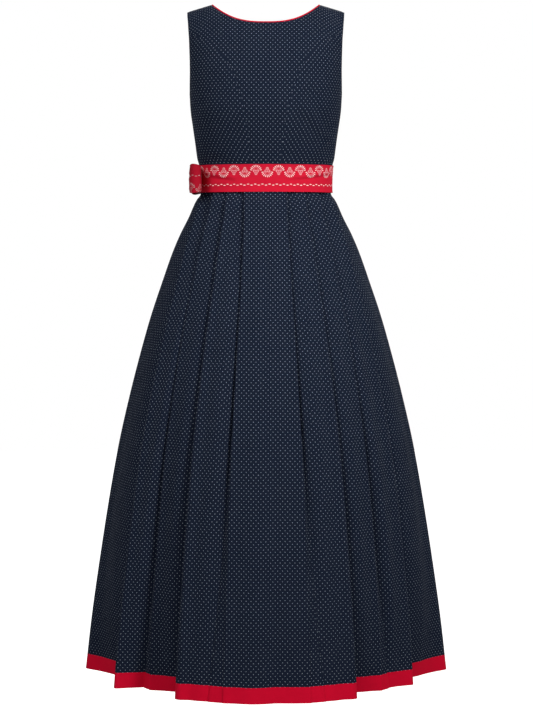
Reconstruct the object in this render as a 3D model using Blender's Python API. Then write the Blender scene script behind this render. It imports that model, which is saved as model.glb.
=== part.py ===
"""A long sleeveless folk dress, filled out as if worn, with nobody in it.

Metres, +Z up. The front faces -Y and +X is the wearer's left. The origin lies midway between the two
shoulder seams, where a body holds the dress up. Each sewn piece is one closed wall of cloth. Every wall is
a grid of points, in rows going up or down the piece and columns going round it, with half the cloth's
thickness laid on each side.
"""

import math
from collections import namedtuple

import bmesh
import bpy
import numpy as np
from mathutils import Matrix

# Cloth
WALL = 0.0013
SEAM_GAP = 0.0003

# Heights
SHOULDER = 0.0
UNDERARM = -0.168
BELT_TOP = -0.3085
WAIST_SEAM = -0.340
BELT_BOTTOM = -0.3619
BAND_TOP = -1.286
HEM = -1.316

# Neck and shoulders
NECK_HALF_WIDTH = 0.108
SHOULDER_TIP = 0.155
SHOULDER_DROP = 0.014
FRONT_NECK_DROP = 0.041
BACK_NECK_DROP = 0.055
NECK_ROUNDNESS = 2.7
PIPING_RADIUS = 0.0014
PIPING_EASE = 0.0004

# Armholes: how far the edge lies in front of and behind the shoulder line, as a share of the body's depth
ARMHOLE_SCOOP_FRONT = 0.62
ARMHOLE_SCOOP_BACK = 0.50
ARMHOLE_ROUNDNESS = 0.30

# The body of the dress above the waist seam. Squareness 2 is an ellipse, and more is boxier.
Section = namedtuple("Section", "height half_width front back squareness")
BODICE_SECTIONS = (
    Section(WAIST_SEAM, 0.1300, 0.0950, 0.0950, 2.00),
    Section(-0.3085, 0.1318, 0.0965, 0.0950, 2.02),
    Section(-0.2960, 0.1352, 0.0985, 0.0955, 2.06),
    Section(-0.2640, 0.1395, 0.1050, 0.0970, 2.14),
    Section(-0.2320, 0.1440, 0.1125, 0.0990, 2.22),
    Section(-0.2000, 0.1483, 0.1175, 0.1020, 2.30),
    Section(UNDERARM, 0.1502, 0.1165, 0.1045, 2.36),
)
# The armhole's edge, seen from the front
ArmholeEdge = namedtuple("ArmholeEdge", "height out")
ARMHOLE_EDGE = (
    ArmholeEdge(UNDERARM, 0.1502),
    ArmholeEdge(-0.120, 0.1490),
    ArmholeEdge(-0.072, 0.1500),
    ArmholeEdge(-0.035, 0.1522),
    ArmholeEdge(SHOULDER, SHOULDER_TIP),
)
# The curved seam that runs from each armhole over the bust to the waist
SeamPoint = namedtuple("SeamPoint", "height out")
PRINCESS_SEAM = (
    SeamPoint(WAIST_SEAM, 0.0290),
    SeamPoint(-0.300, 0.0305),
    SeamPoint(-0.250, 0.0340),
    SeamPoint(-0.211, 0.0404),
    SeamPoint(-0.173, 0.0500),
    SeamPoint(-0.146, 0.0580),
    SeamPoint(-0.108, 0.0765),
    SeamPoint(-0.080, 0.1020),
    SeamPoint(-0.062, 0.1270),
    SeamPoint(-0.050, 0.1516),
)
# Rows of points: heights up to the underarm, and above it shares of the way round the shoulder's roll.
# The princess seam ends on the armhole at one of them.
PRINCESS_END_SHARE = 0.485
BODICE_ROWS = (WAIST_SEAM, -0.325, BELT_TOP, -0.296, -0.275, -0.250, -0.225, -0.198, UNDERARM)
SHOULDER_ROWS = (0.02, 0.07, 0.14, 0.22, 0.30, 0.39, PRINCESS_END_SHARE, 0.62, 0.75, 0.88, 1.00)
NECK_COLUMNS = 8
STRAP_COLUMNS = 3
SIDE_FRONT_COLUMNS = 7
# How far the side front's last row lies from the row before it towards its point
SIDE_FRONT_TIP = 0.80

# The skirt's outside, over the pleats' outer edges
Flare = namedtuple("Flare", "height half_width")
SKIRT_FLARE = (
    Flare(WAIST_SEAM, 0.1292),
    Flare(-0.3630, 0.1302),
    Flare(-0.3770, 0.1394),
    Flare(-0.4120, 0.1545),
    Flare(-0.4440, 0.1705),
    Flare(-0.4760, 0.1840),
    Flare(-0.5400, 0.2065),
    Flare(-0.6040, 0.2280),
    Flare(-0.6680, 0.2465),
    Flare(-0.7640, 0.2715),
    Flare(-0.8600, 0.2935),
    Flare(-0.9560, 0.3112),
    Flare(-1.0840, 0.3318),
    Flare(-1.2120, 0.3502),
    Flare(HEM, 0.3622),
)
WAIST_HALF_DEPTH = 0.0940
HEM_HALF_DEPTH = 0.3225
SKIRT_ROWS = (-0.363, -0.377, -0.404, -0.444, -0.500, -0.570, -0.660, -0.770, -0.900, -1.030, -1.160)

# Pleats at the waist: all alike, their layers one pitch apart
LAYER_PITCH = 0.0020
WAIST_FOLD_DEPTH = 0.0064
WAIST_OVERLAP = 0.0160
# How soon a pleat's edge leaves its place at the waist for its line to the hem
EDGE_SETTLES = 0.070
# A fold's width, as a share of its depth
FOLD_ROUNDNESS = 0.28
# How much later than the skirt widens its folds deepen
FOLD_DEEPENS = 1.5
# How far past the pleat over it each face comes up out of its fold, below the belt and low down, and how
# much of the fold's depth it makes up at once
CREST_REACH = (0.0040, 0.018)
CREST_SHARE = 0.80

# Each pleat: where its edge lies at the waist and the hem, in degrees round from the centre front, and at
# the hem how far its edge and its inner fold lie inside the flare and how far it laps the next.
Pleat = namedtuple("Pleat", "waist_turn hem_turn edge_depth fold_depth overlap")
PLEATS_LEFT = (
    Pleat(20.0, 13.5, 0.000, 0.007, -0.030),
    Pleat(38.0, 29.5, 0.005, 0.072, 0.024),
    Pleat(56.0, 43.5, 0.041, 0.047, -0.028),
    Pleat(80.0, 60.5, 0.030, 0.085, 0.020),
    Pleat(103.0, 92.0, 0.000, 0.070, 0.024),
    Pleat(121.0, 113.0, 0.030, 0.044, -0.015),
    Pleat(139.0, 132.0, 0.000, 0.074, 0.026),
    Pleat(158.0, 155.0, 0.024, 0.040, -0.018),
    Pleat(179.2, 179.2, 0.000, 0.060, 0.030),
)
PLEATS_RIGHT = (
    Pleat(21.5, 12.8, 0.000, 0.007, -0.030),
    Pleat(38.0, 29.0, 0.000, 0.078, 0.026),
    Pleat(55.0, 44.0, 0.044, 0.050, -0.028),
    Pleat(80.0, 57.0, 0.004, 0.096, 0.020),
    Pleat(103.0, 94.0, 0.000, 0.068, 0.024),
    Pleat(121.0, 115.0, 0.026, 0.042, -0.016),
    Pleat(139.0, 135.0, 0.000, 0.078, 0.026),
    Pleat(158.0, 154.0, 0.022, 0.036, -0.016),
    Pleat(179.2, 179.2, 0.000, 0.060, 0.030),
)
POINTS_PER_PLEAT = 8
SIDE_SEAM_PLEAT = 5

BELT_EASE = 0.0006
BELT_COLUMNS = 56

# Bow on the wearer's right
KNOT_SIZE = (0.0165, 0.026, 0.036)
LOOP_LENGTH = 0.070
LOOP_THICKNESS = 0.0205
# How far each loop leans in towards the waist, as a share of its length
LOOP_LEAN = 0.08
LOOP_HEIGHT = 0.0600
LOOP_THROAT_HEIGHT = 0.0260
LOOP_THROAT_WIDTH = 0.0070
BACK_LOOP_SHARE = 0.94
BOW_HEIGHT = 0.5 * (BELT_TOP + BELT_BOTTOM)

# Zip in the centre back, closed, its slider under the neck edge
SLIDER_SIZE = (0.0075, 0.0022, 0.0110)
LUG_SIZE = (0.0012, 0.0034, 0.0046)
BARREL_RADIUS = 0.0013
BARREL_WIDTH = 0.0030
PULL_LENGTH = 0.0260
PULL_WIDTH = 0.0072
PULL_THICKNESS = 0.0012
HINGE_GAP = 0.0003
SLIDER_DROP = 0.0100


def clear_scene():
    for obj in list(bpy.data.objects):
        bpy.data.objects.remove(obj, do_unlink=True)


def make_material(name, color, roughness, metallic=0.0):
    material = bpy.data.materials.new(name)
    material.use_nodes = True
    shader = material.node_tree.nodes["Principled BSDF"]
    shader.inputs["Base Color"].default_value = (*color, 1.0)
    shader.inputs["Roughness"].default_value = roughness
    shader.inputs["Metallic"].default_value = metallic
    return material


def through(table, at):
    """The second column of a table at a value of its first, along a curve that never overshoots."""
    xs = np.array([row[0] for row in table])
    ys = np.array([row[1] for row in table])
    order = np.argsort(xs)
    xs, ys = xs[order], ys[order]
    steps = np.diff(xs)
    slopes = np.diff(ys) / steps
    inner = np.zeros(len(slopes) - 1)
    same_way = slopes[:-1] * slopes[1:] > 0
    inner[same_way] = 2 / (1 / slopes[:-1][same_way] + 1 / slopes[1:][same_way])
    tangents = np.concatenate([slopes[:1], inner, slopes[-1:]])
    at = float(np.clip(at, xs[0], xs[-1]))
    i = min(int(np.searchsorted(xs, at, side="right")) - 1, len(steps) - 1)
    t = (at - xs[i]) / steps[i]
    return (
        ys[i] * (1 + 2 * t) * (1 - t) ** 2
        + tangents[i] * steps[i] * t * (1 - t) ** 2
        + ys[i + 1] * t * t * (3 - 2 * t)
        + tangents[i + 1] * steps[i] * t * t * (t - 1)
    )


def column(table, name):
    """A table's first column beside one of its others."""
    return [(row[0], getattr(row, name)) for row in table]


def mix(a, b, share):
    return a + (b - a) * share


def unit(vector):
    return vector / np.linalg.norm(vector)


# The bodice's surface. rise is 0 at the waist seam, 1 at the underarm and 2 at the shoulder seam, and
# turn goes from 0 at the centre front through 90 at the side to 180 at the centre back.


def shoulder_roll(rise):
    return math.radians(90.0) * max(rise - 1.0, 0.0)


def rise_at(height):
    if height <= UNDERARM:
        return (height - WAIST_SEAM) / (UNDERARM - WAIST_SEAM)
    share = (height - UNDERARM) / (SHOULDER - UNDERARM)
    return 1.0 + math.asin(min(share, 1.0)) / math.radians(90.0)


def height_at(rise):
    if rise <= 1.0:
        return mix(WAIST_SEAM, UNDERARM, rise)
    return mix(UNDERARM, SHOULDER, math.sin(shoulder_roll(rise)))


def armhole_scoop(rise, back):
    most = ARMHOLE_SCOOP_BACK if back else ARMHOLE_SCOOP_FRONT
    return most * max(rise - 1.0, 0.0) ** ARMHOLE_ROUNDNESS


def torso_section(rise, back):
    """Half width, depth and squareness of the body at a rise."""
    height = height_at(rise)
    level = min(height, UNDERARM)
    depth = through(column(BODICE_SECTIONS, "back" if back else "front"), level)
    squareness = through(column(BODICE_SECTIONS, "squareness"), level)
    if rise <= 1.0:
        return through(column(BODICE_SECTIONS, "half_width"), level), depth, squareness
    scoop = armhole_scoop(rise, back)
    spread = (1.0 - scoop**squareness) ** (1.0 / squareness)
    return through(ARMHOLE_EDGE, height) / spread, depth * math.cos(shoulder_roll(rise)), squareness


def armhole_turn(rise, back):
    """The turn of the armhole's edge, or of the side seam below it."""
    _, _, squareness = torso_section(rise, back)
    turn = math.degrees(math.acos(armhole_scoop(rise, back) ** (squareness / 2.0))) if rise > 1.0 else 90.0
    return 180.0 - turn if back else turn


def front_turn_at(out, rise):
    """The turn at a distance out from the centre plane, on the front."""
    half_width, _, squareness = torso_section(rise, False)
    return math.degrees(math.asin(min(out / half_width, 1.0) ** (squareness / 2.0)))


def torso_point(turn, rise, side):
    back = turn > 90.0
    half_width, depth, squareness = torso_section(rise, back)
    angle = math.radians(180.0 - turn if back else turn)
    power = 2.0 / squareness
    out = half_width * max(math.sin(angle), 0.0) ** power
    forward = depth * max(math.cos(angle), 0.0) ** power
    past_neck = max(out, NECK_HALF_WIDTH) - 0.5 * (NECK_HALF_WIDTH + SHOULDER_TIP)
    slope = SHOULDER_DROP / (SHOULDER_TIP - NECK_HALF_WIDTH)
    sloped = past_neck * slope * math.sin(shoulder_roll(rise)) ** 2
    return np.array([side * out, forward if back else -forward, height_at(rise) - sloped])


def torso_normal(turn, rise, side):
    """Unit vector out of the cloth, from the surface just round and just above."""
    back = turn > 90.0
    low_turn, high_turn = (90.001, 180.0) if back else (0.0, 90.0)
    round_a = torso_point(max(turn - 0.5, low_turn), rise, side)
    round_b = torso_point(min(turn + 0.5, high_turn), rise, side)
    up_a = torso_point(turn, max(rise - 0.004, 0.0), side)
    up_b = torso_point(turn, min(rise + 0.004, 2.0), side)
    return unit(np.cross(round_b - round_a, up_b - up_a)) * side


def neck_height(out, back):
    drop = BACK_NECK_DROP if back else FRONT_NECK_DROP
    share = min(abs(out) / NECK_HALF_WIDTH, 1.0)
    return 0.5 * SHOULDER_DROP - drop * (1.0 - share**NECK_ROUNDNESS)


def neck_rise(share, outer_turn, back):
    """The rise at which a column meets the neck edge, or 2 where it runs on to the shoulder seam."""

    def above_edge(rise):
        turn = column_turn(share, outer_turn(rise), back)
        point = torso_point(turn, rise, 1)
        return point[2] - neck_height(point[0], back)

    if above_edge(2.0) < 1e-9:
        return 2.0
    low, high = 1.0, 2.0
    for _ in range(40):
        middle = 0.5 * (low + high)
        if above_edge(middle) < 0:
            low = middle
        else:
            high = middle
    return low


def column_turn(share, outer, back):
    return mix(180.0, outer, share) if back else outer * share


# Walls of cloth


def moved_in(edge, neighbour):
    """The points of a panel's edge, drawn back by half of the gap at a seam."""
    return [a + unit(b - a) * SEAM_GAP / 2 for a, b in zip(edge, neighbour)]


def trim(grid, edges):
    """Draws back the edges that are sewn to another piece."""
    rows = [list(row) for row in grid]
    if "first_column" in edges:
        for row, moved in zip(rows, moved_in([r[0] for r in rows], [r[1] for r in rows])):
            row[0] = moved
    if "last_column" in edges:
        for row, moved in zip(rows, moved_in([r[-1] for r in rows], [r[-2] for r in rows])):
            row[-1] = moved
    if "first_row" in edges:
        rows[0] = moved_in(rows[0], rows[1])
    if "last_row" in edges:
        rows[-1] = moved_in(rows[-1], rows[-2])
    return rows


def cloth(name, grid, outward, material, closed=False):
    """One closed wall from a grid of middle points and the half thickness at each of them.

    closed joins the last column to the first, as on a belt.
    """
    mesh = bpy.data.meshes.new(name)
    bm = bmesh.new()
    outer = [[bm.verts.new(p + h) for p, h in zip(*rows)] for rows in zip(grid, outward)]
    inner = [[bm.verts.new(p - h) for p, h in zip(*rows)] for rows in zip(grid, outward)]
    last_row = len(grid) - 1
    columns = len(grid[0])
    steps = [(j, (j + 1) % columns) for j in range(columns if closed else columns - 1)]
    for j, k in steps:
        for i in range(last_row):
            bm.faces.new((outer[i][j], outer[i][k], outer[i + 1][k], outer[i + 1][j]))
            bm.faces.new((inner[i][j], inner[i + 1][j], inner[i + 1][k], inner[i][k]))
        bm.faces.new((outer[0][j], inner[0][j], inner[0][k], outer[0][k]))
        bm.faces.new((outer[last_row][j], outer[last_row][k], inner[last_row][k], inner[last_row][j]))
    if not closed:
        for i in range(last_row):
            bm.faces.new((outer[i][0], outer[i + 1][0], inner[i + 1][0], inner[i][0]))
            bm.faces.new((outer[i][-1], inner[i][-1], inner[i + 1][-1], outer[i + 1][-1]))
    bmesh.ops.recalc_face_normals(bm, faces=bm.faces)
    bm.to_mesh(mesh)
    bm.free()
    mesh.materials.append(material)
    mesh.shade_smooth()
    mesh.set_sharp_from_angle(angle=math.radians(40))
    obj = bpy.data.objects.new(name, mesh)
    bpy.context.scene.collection.objects.link(obj)
    return obj


def torso_grid(places, side):
    """Points and half thicknesses for rows of (turn, rise) places."""
    grid = [[torso_point(turn, rise, side) for turn, rise in row] for row in places]
    outward = [[torso_normal(turn, rise, side) * WALL / 2 for turn, rise in row] for row in places]
    return grid, outward


# Bodice panels


def princess_turn(rise):
    return front_turn_at(through(PRINCESS_SEAM, height_at(rise)), rise)


def front_outer_turn(rise):
    """The front piece's outer edge: the princess seam, and the armhole above its end."""
    if rise - 1.0 < PRINCESS_END_SHARE - 1e-6:
        return min(princess_turn(rise), armhole_turn(rise, False))
    return armhole_turn(rise, False)


def back_outer_turn(rise):
    return armhole_turn(rise, True)


def panel_shares(outer_turn, back):
    """Shares of the way from a panel's centre to its outer edge: the neck's columns, then the strap's."""
    low, high = 0.0, 1.0
    for _ in range(40):
        middle = 0.5 * (low + high)
        if neck_rise(middle, outer_turn, back) < 2.0:
            low = middle
        else:
            high = middle
    neck = [low * j / NECK_COLUMNS for j in range(NECK_COLUMNS)]
    strap = [mix(high, 1.0, j / STRAP_COLUMNS) for j in range(STRAP_COLUMNS + 1)]
    return neck + strap


def panel_places(outer_turn, back):
    """(turn, rise) places of half a front, or of a back, from its centre to its outer edge."""
    shares = panel_shares(outer_turn, back)
    tops = [neck_rise(share, outer_turn, back) for share in shares]
    rows = [[rise_at(height)] * len(shares) for height in BODICE_ROWS]
    rows += [[1.0 + (top - 1.0) * share for top in tops] for share in SHOULDER_ROWS]
    return [
        [(column_turn(share, outer_turn(rise), back), rise) for share, rise in zip(shares, rises)]
        for rises in rows
    ]


def make_bodice_front(material):
    half = panel_places(front_outer_turn, False)
    left, left_out = torso_grid(half, 1)
    right, right_out = torso_grid(half, -1)
    grid = [list(reversed(r))[:-1] + l for r, l in zip(right, left)]
    outward = [list(reversed(r))[:-1] + l for r, l in zip(right_out, left_out)]
    grid = trim(grid, ("first_column", "last_column", "first_row", "last_row"))
    return cloth("bodice_front", grid, outward, material)


def make_side_front(name, side, material):
    """From the princess seam to the side seam and the armhole, narrowing to a point where the two meet."""
    rises = [rise_at(height) for height in BODICE_ROWS]
    rises += [1.0 + share for share in SHOULDER_ROWS if share < PRINCESS_END_SHARE]
    edges = [(princess_turn(rise), armhole_turn(rise, False), rise) for rise in rises]
    last, meeting = rises[-1], 1.0 + PRINCESS_END_SHARE
    tip = mix(last, meeting, SIDE_FRONT_TIP)
    inner = mix(princess_turn(last), armhole_turn(meeting, False), SIDE_FRONT_TIP)
    edges.append((inner, armhole_turn(tip, False), tip))
    shares = [j / SIDE_FRONT_COLUMNS for j in range(SIDE_FRONT_COLUMNS + 1)]
    places = [[(mix(inner, outer, share), rise) for share in shares] for inner, outer, rise in edges]
    grid, outward = torso_grid(places, side)
    grid = trim(grid, ("first_column", "last_column", "first_row"))
    return cloth(name, grid, outward, material)


def make_bodice_back(name, side, material):
    places = panel_places(back_outer_turn, True)
    grid, outward = torso_grid(places, side)
    grid = trim(grid, ("first_column", "last_column", "first_row", "last_row"))
    return cloth(name, grid, outward, material)


def neck_edge(outer_turn, back):
    """(turn, rise) places along the neck edge from the centre to the shoulder seam."""
    shares = panel_shares(outer_turn, back)[: NECK_COLUMNS + 1]
    rises = [neck_rise(share, outer_turn, back) for share in shares]
    return [(column_turn(s, outer_turn(r), back), r) for s, r in zip(shares, rises)]


def piping_half():
    """The piping's line on the left, from the centre back over the shoulder seam to the centre front."""
    edge = neck_edge(back_outer_turn, True) + list(reversed(neck_edge(front_outer_turn, False)))[1:]
    points = [torso_point(turn, rise, 1) for turn, rise in edge]
    mirror = np.array([-1.0, 1.0, 1.0])
    around = [points[1] * mirror, *points, points[-2] * mirror]
    line = []
    for i, (turn, rise) in enumerate(edge):
        along = unit(around[i + 2] - around[i])
        away = unit(np.cross(along, torso_normal(turn, rise, 1)))
        line.append(points[i] + away * (PIPING_RADIUS + PIPING_EASE))
    return line


def make_neck_piping(material):
    """A cord along the whole neck edge, from one side of the zip to the other."""
    left = piping_half()
    left[0] = left[0] + np.array([SEAM_GAP / 2, 0.0, 0.0])
    points = left + [point * (-1, 1, 1) for point in reversed(left[:-1])]
    curve = bpy.data.curves.new("neck_piping", "CURVE")
    curve.dimensions = "3D"
    curve.bevel_depth = PIPING_RADIUS
    curve.bevel_resolution = 1
    curve.use_fill_caps = True
    spline = curve.splines.new("POLY")
    spline.points.add(len(points) - 1)
    for target, point in zip(spline.points, points):
        target.co = (*point, 1.0)
    curve.materials.append(material)
    obj = bpy.data.objects.new("neck_piping", curve)
    bpy.context.scene.collection.objects.link(obj)
    return obj


# Skirt


def flare(height):
    """Half width and half depth of the skirt over its pleats' outer edges."""
    half_width = through(SKIRT_FLARE, height)
    waist, hem = SKIRT_FLARE[0].half_width, SKIRT_FLARE[-1].half_width
    return half_width, mix(WAIST_HALF_DEPTH, HEM_HALF_DEPTH, (half_width - waist) / (hem - waist))


def skirt_place(turn, depth, height):
    """A point inside the flare by its depth, in plan."""
    half_width, half_depth = flare(height)
    angle = math.radians(turn)
    normal = unit(np.array([half_depth * math.sin(angle), -half_width * math.cos(angle)]))
    return np.array([half_width * math.sin(angle), -half_depth * math.cos(angle)]) - normal * depth


def arc_per_degree(turn, height):
    half_width, half_depth = flare(height)
    angle = math.radians(turn)
    return math.radians(math.hypot(half_width * math.cos(angle), half_depth * math.sin(angle)))


Fold = namedtuple("Fold", "edge_turn edge_depth inner_turn inner_depth width")


def folds_at(pleats, height):
    """The pleats' edges and inner folds at a height, from the centre front round to the back."""
    drop = WAIST_SEAM - height
    share = drop / (WAIST_SEAM - HEM)
    deep = share**FOLD_DEEPENS
    settled = 1.0 - math.exp(-drop / EDGE_SETTLES)
    folds = []
    for pleat in pleats:
        edge_turn = mix(pleat.waist_turn, pleat.hem_turn, settled)
        edge_depth = pleat.edge_depth * deep
        overlap = mix(WAIST_OVERLAP, pleat.overlap, deep)
        inner_turn = edge_turn - overlap / arc_per_degree(edge_turn, height)
        inner_depth = mix(WAIST_FOLD_DEPTH, pleat.fold_depth, deep)
        width = mix(LAYER_PITCH, FOLD_ROUNDNESS * (pleat.fold_depth - pleat.edge_depth), deep)
        folds.append(Fold(edge_turn, edge_depth, inner_turn, inner_depth, width))
    return folds


def pleated_half(pleats, height):
    """Half the skirt in plan at a height: the cloth's middle line from the centre front to the back seam.

    Each pleat adds POINTS_PER_PLEAT points: the crest where it comes up out of the last fold, its face,
    three round its outer edge and three round its inner fold.
    """
    share = (WAIST_SEAM - height) / (WAIST_SEAM - HEM)
    reach = mix(*CREST_REACH, min(max((share - 0.08) / 0.60, 0.0), 1.0) ** 1.5)
    made_up = CREST_SHARE * (1.0 - math.exp(-((share / 0.17) ** 2))) * (1.0 - share**5)
    line = [skirt_place(0.0, 0.0, height)]
    start_turn, start_depth, last_edge = 0.0, 0.0, 0.0
    for fold in folds_at(pleats, height):
        nose = 0.6 * fold.width / arc_per_degree(fold.edge_turn, height)
        half = 0.5 * fold.width
        edge = skirt_place(fold.edge_turn - nose, fold.edge_depth, height)
        lapped = (fold.inner_turn - start_turn) / (fold.edge_turn - start_turn)
        over_fold = min(max(lapped, 0.5), 0.76)
        face_turn = mix(start_turn, fold.edge_turn, over_fold)
        risen = start_depth * (1.0 - made_up)
        start = skirt_place(start_turn, risen, height)
        on_flare = skirt_place(face_turn, mix(risen, fold.edge_depth, over_fold), height)
        face = mix(on_flare, mix(start, edge, over_fold), share**0.5)
        crest_turn = max(start_turn, last_edge) + reach / arc_per_degree(start_turn, height)
        line.append(mix(start, face, min((crest_turn - start_turn) / (face_turn - start_turn), 0.62)))
        line.append(face)
        line.append(edge)
        line.append(skirt_place(fold.edge_turn, fold.edge_depth + half, height))
        back_way = -nose if fold.inner_turn < fold.edge_turn else nose
        line.append(skirt_place(fold.edge_turn + back_way, fold.edge_depth + fold.width, height))
        line.append(skirt_place(fold.inner_turn - back_way, fold.inner_depth - fold.width, height))
        line.append(skirt_place(fold.inner_turn, fold.inner_depth - half, height))
        line.append(skirt_place(fold.inner_turn + nose, fold.inner_depth, height))
        start_turn, start_depth, last_edge = fold.inner_turn + nose, fold.inner_depth, fold.edge_turn
    line.append(skirt_place(180.0, start_depth, height))
    return line


def pleated_ring(height):
    """The whole section, from the back seam round the wearer's right, front and left to the back seam."""
    right = [point * (-1, 1) for point in pleated_half(PLEATS_RIGHT, height)]
    left = pleated_half(PLEATS_LEFT, height)
    return list(reversed(right))[:-1] + left


def mitres(line):
    """Half the wall at each point of a line in plan, square to both stretches that meet there."""
    steps = [unit(b - a) for a, b in zip(line, line[1:])]
    steps = [steps[0]] + steps + [steps[-1]]
    outward = []
    for before, after in zip(steps, steps[1:]):
        normal = unit(np.array([before[1] + after[1], -before[0] - after[0]]))
        square = normal @ np.array([after[1], -after[0]])
        outward.append(normal * WALL / 2 / max(square, 0.5))
    return outward


def skirt_piece(name, heights, first, last, trimmed, material):
    """A stretch of the pleated section between two of its points, through a list of heights."""
    grid, outward = [], []
    for height in heights:
        ring = pleated_ring(height)
        half_walls = mitres(ring)
        grid.append([np.array([*point, height]) for point in ring[first : last + 1]])
        outward.append([np.array([*wall, 0.0]) for wall in half_walls[first : last + 1]])
    return cloth(name, trim(grid, trimmed), outward, material)


def make_skirt(navy, red):
    count = 2 * (len(PLEATS_LEFT) * POINTS_PER_PLEAT + 1)
    middle = count // 2
    seam = SIDE_SEAM_PLEAT * POINTS_PER_PLEAT + 2
    stretches = (
        ("front", middle - seam, middle + seam),
        ("back_right", 0, middle - seam),
        ("back_left", middle + seam, count),
    )
    skirt_rows = (WAIST_SEAM, *SKIRT_ROWS, BAND_TOP)
    for place, first, last in stretches:
        sides = ("first_column", "last_column")
        skirt_piece("skirt_" + place, skirt_rows, first, last, (*sides, "first_row", "last_row"), navy)
        skirt_piece("hem_band_" + place, (BAND_TOP, HEM), first, last, (*sides, "first_row"), red)


# Belt and bow


def make_belt(material):
    """A band over the waist seam, moved out from the bodice above it and the skirt below it."""
    lift = WALL + BELT_EASE
    below, above = mix(BELT_BOTTOM, WAIST_SEAM, 0.5), mix(WAIST_SEAM, BELT_TOP, 0.5)
    turns = [360.0 * i / BELT_COLUMNS for i in range(BELT_COLUMNS)]
    grid, outward = [], []
    for height in (BELT_BOTTOM, below, WAIST_SEAM, above, BELT_TOP):
        points, walls = [], []
        for full_turn in turns:
            side = 1 if full_turn <= 180.0 else -1
            turn = full_turn if side == 1 else 360.0 - full_turn
            if height < WAIST_SEAM:
                edge = skirt_place(turn, 0.0, height)
                flat = np.array([*unit(edge - skirt_place(turn, WALL, height)), 0.0])
                point = np.array([*edge, height])
            else:
                flat = unit(torso_normal(turn, rise_at(height), 1) * (1, 1, 0))
                point = torso_point(turn, rise_at(height), 1)
                point[2] = height
            points.append((point + flat * lift) * (side, 1, 1))
            walls.append(flat * (side, 1, 1) * WALL / 2)
        grid.append(points)
        outward.append(walls)
    return cloth("belt", grid, outward, material, closed=True)


def loop_route(length):
    """The loop's line in plan from its knot and back, as (out from the dress, forward)."""
    radius = 0.5 * LOOP_THICKNESS
    throat = 0.5 * LOOP_THROAT_WIDTH
    belly = length - radius
    away = [(-throat, 0.0), (-0.82 * radius, 0.28 * belly), (-1.02 * radius, 0.62 * belly)]
    angles = [math.radians(-90.0 + 180.0 * i / 8) for i in range(9)]
    round_end = [(radius * math.sin(a), belly + radius * math.cos(a)) for a in angles]
    back = [(-out, forward) for out, forward in reversed(away)]
    return away + round_end + back


def make_bow_loop(name, way, share, material):
    """A band folded into a loop, gathered at the knot. way is -1 for the loop that points forward."""
    route = [np.array(p) for p in loop_route(LOOP_LENGTH * share)]
    steps = [unit(b - a) for a, b in zip(route, route[1:])]
    steps = [steps[0]] + steps + [steps[-1]]
    centre = -(BODICE_SECTIONS[0].half_width + 2.5 * WALL + KNOT_SIZE[0] / 2)
    start = KNOT_SIZE[1] / 2 + SEAM_GAP
    grid, outward = [[] for _ in range(5)], [[] for _ in range(5)]
    for (out, forward), before, after in zip(route, steps, steps[1:]):
        open_share = min(forward / (0.5 * LOOP_LENGTH), 1.0)
        half_height = mix(LOOP_THROAT_HEIGHT, LOOP_HEIGHT, math.sin(math.radians(90.0) * open_share)) / 2
        normal = unit(np.array([before[1] + after[1], -before[0] - after[0]]))
        for i in range(5):
            level = (i - 2) / 2
            pinch = 1.0 - 0.06 * level * level
            across = centre - out * pinch + LOOP_LEAN * forward
            grid[i].append(np.array([across, way * (start + forward), BOW_HEIGHT + half_height * level]))
            outward[i].append(np.array([-normal[0], way * normal[1], 0.0]) * WALL / 2)
    return cloth(name, grid, outward, material)


def make_bow_knot(material):
    """The short band wrapped over the middle of the bow."""
    bm = bmesh.new()
    bmesh.ops.create_cube(bm, size=1.0)
    bmesh.ops.subdivide_edges(bm, edges=bm.edges, cuts=3, use_grid_fill=True)
    for vert in bm.verts:
        across = max(abs(2 * vert.co.x), abs(2 * vert.co.y), abs(2 * vert.co.z))
        rounded = vert.co.normalized() * 0.5 * across * 1.22
        vert.co = vert.co.lerp(rounded, 0.55)
    reach = [max(abs(vert.co[axis]) for vert in bm.verts) for axis in range(3)]
    centre = -(BODICE_SECTIONS[0].half_width + 2.5 * WALL + KNOT_SIZE[0] / 2)
    for vert in bm.verts:
        for axis in range(3):
            vert.co[axis] *= 0.5 * KNOT_SIZE[axis] / reach[axis]
        vert.co.x += centre
        vert.co.z += BOW_HEIGHT
    mesh = bpy.data.meshes.new("bow_knot")
    bm.to_mesh(mesh)
    bm.free()
    mesh.materials.append(material)
    mesh.shade_smooth()
    obj = bpy.data.objects.new("bow_knot", mesh)
    bpy.context.scene.collection.objects.link(obj)
    return obj


# Zip


def zip_frame():
    """The slider's place on the back seam, the way down the seam and the way out of the cloth."""
    rise = neck_rise(0.0, back_outer_turn, True)
    top = torso_point(180.0, rise, 1)
    below = torso_point(180.0, rise - 0.05, 1)
    down = unit(below - top)
    outward = unit(np.array([0.0, -down[2], down[1]]))
    return top, down, outward


def box(name, size, material):
    bm = bmesh.new()
    bmesh.ops.create_cube(bm, size=1.0)
    bmesh.ops.scale(bm, vec=size, verts=bm.verts)
    mesh = bpy.data.meshes.new(name)
    bm.to_mesh(mesh)
    bm.free()
    mesh.materials.append(material)
    obj = bpy.data.objects.new(name, mesh)
    bpy.context.scene.collection.objects.link(obj)
    return obj


def join_solid(target, other):
    """Adds another closed shape to a piece, which stays one body."""
    union = target.modifiers.new("join " + other.name, "BOOLEAN")
    union.operation = "UNION"
    union.object = other
    other.parent = target
    other.hide_render = True
    other.display_type = "WIRE"


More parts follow.
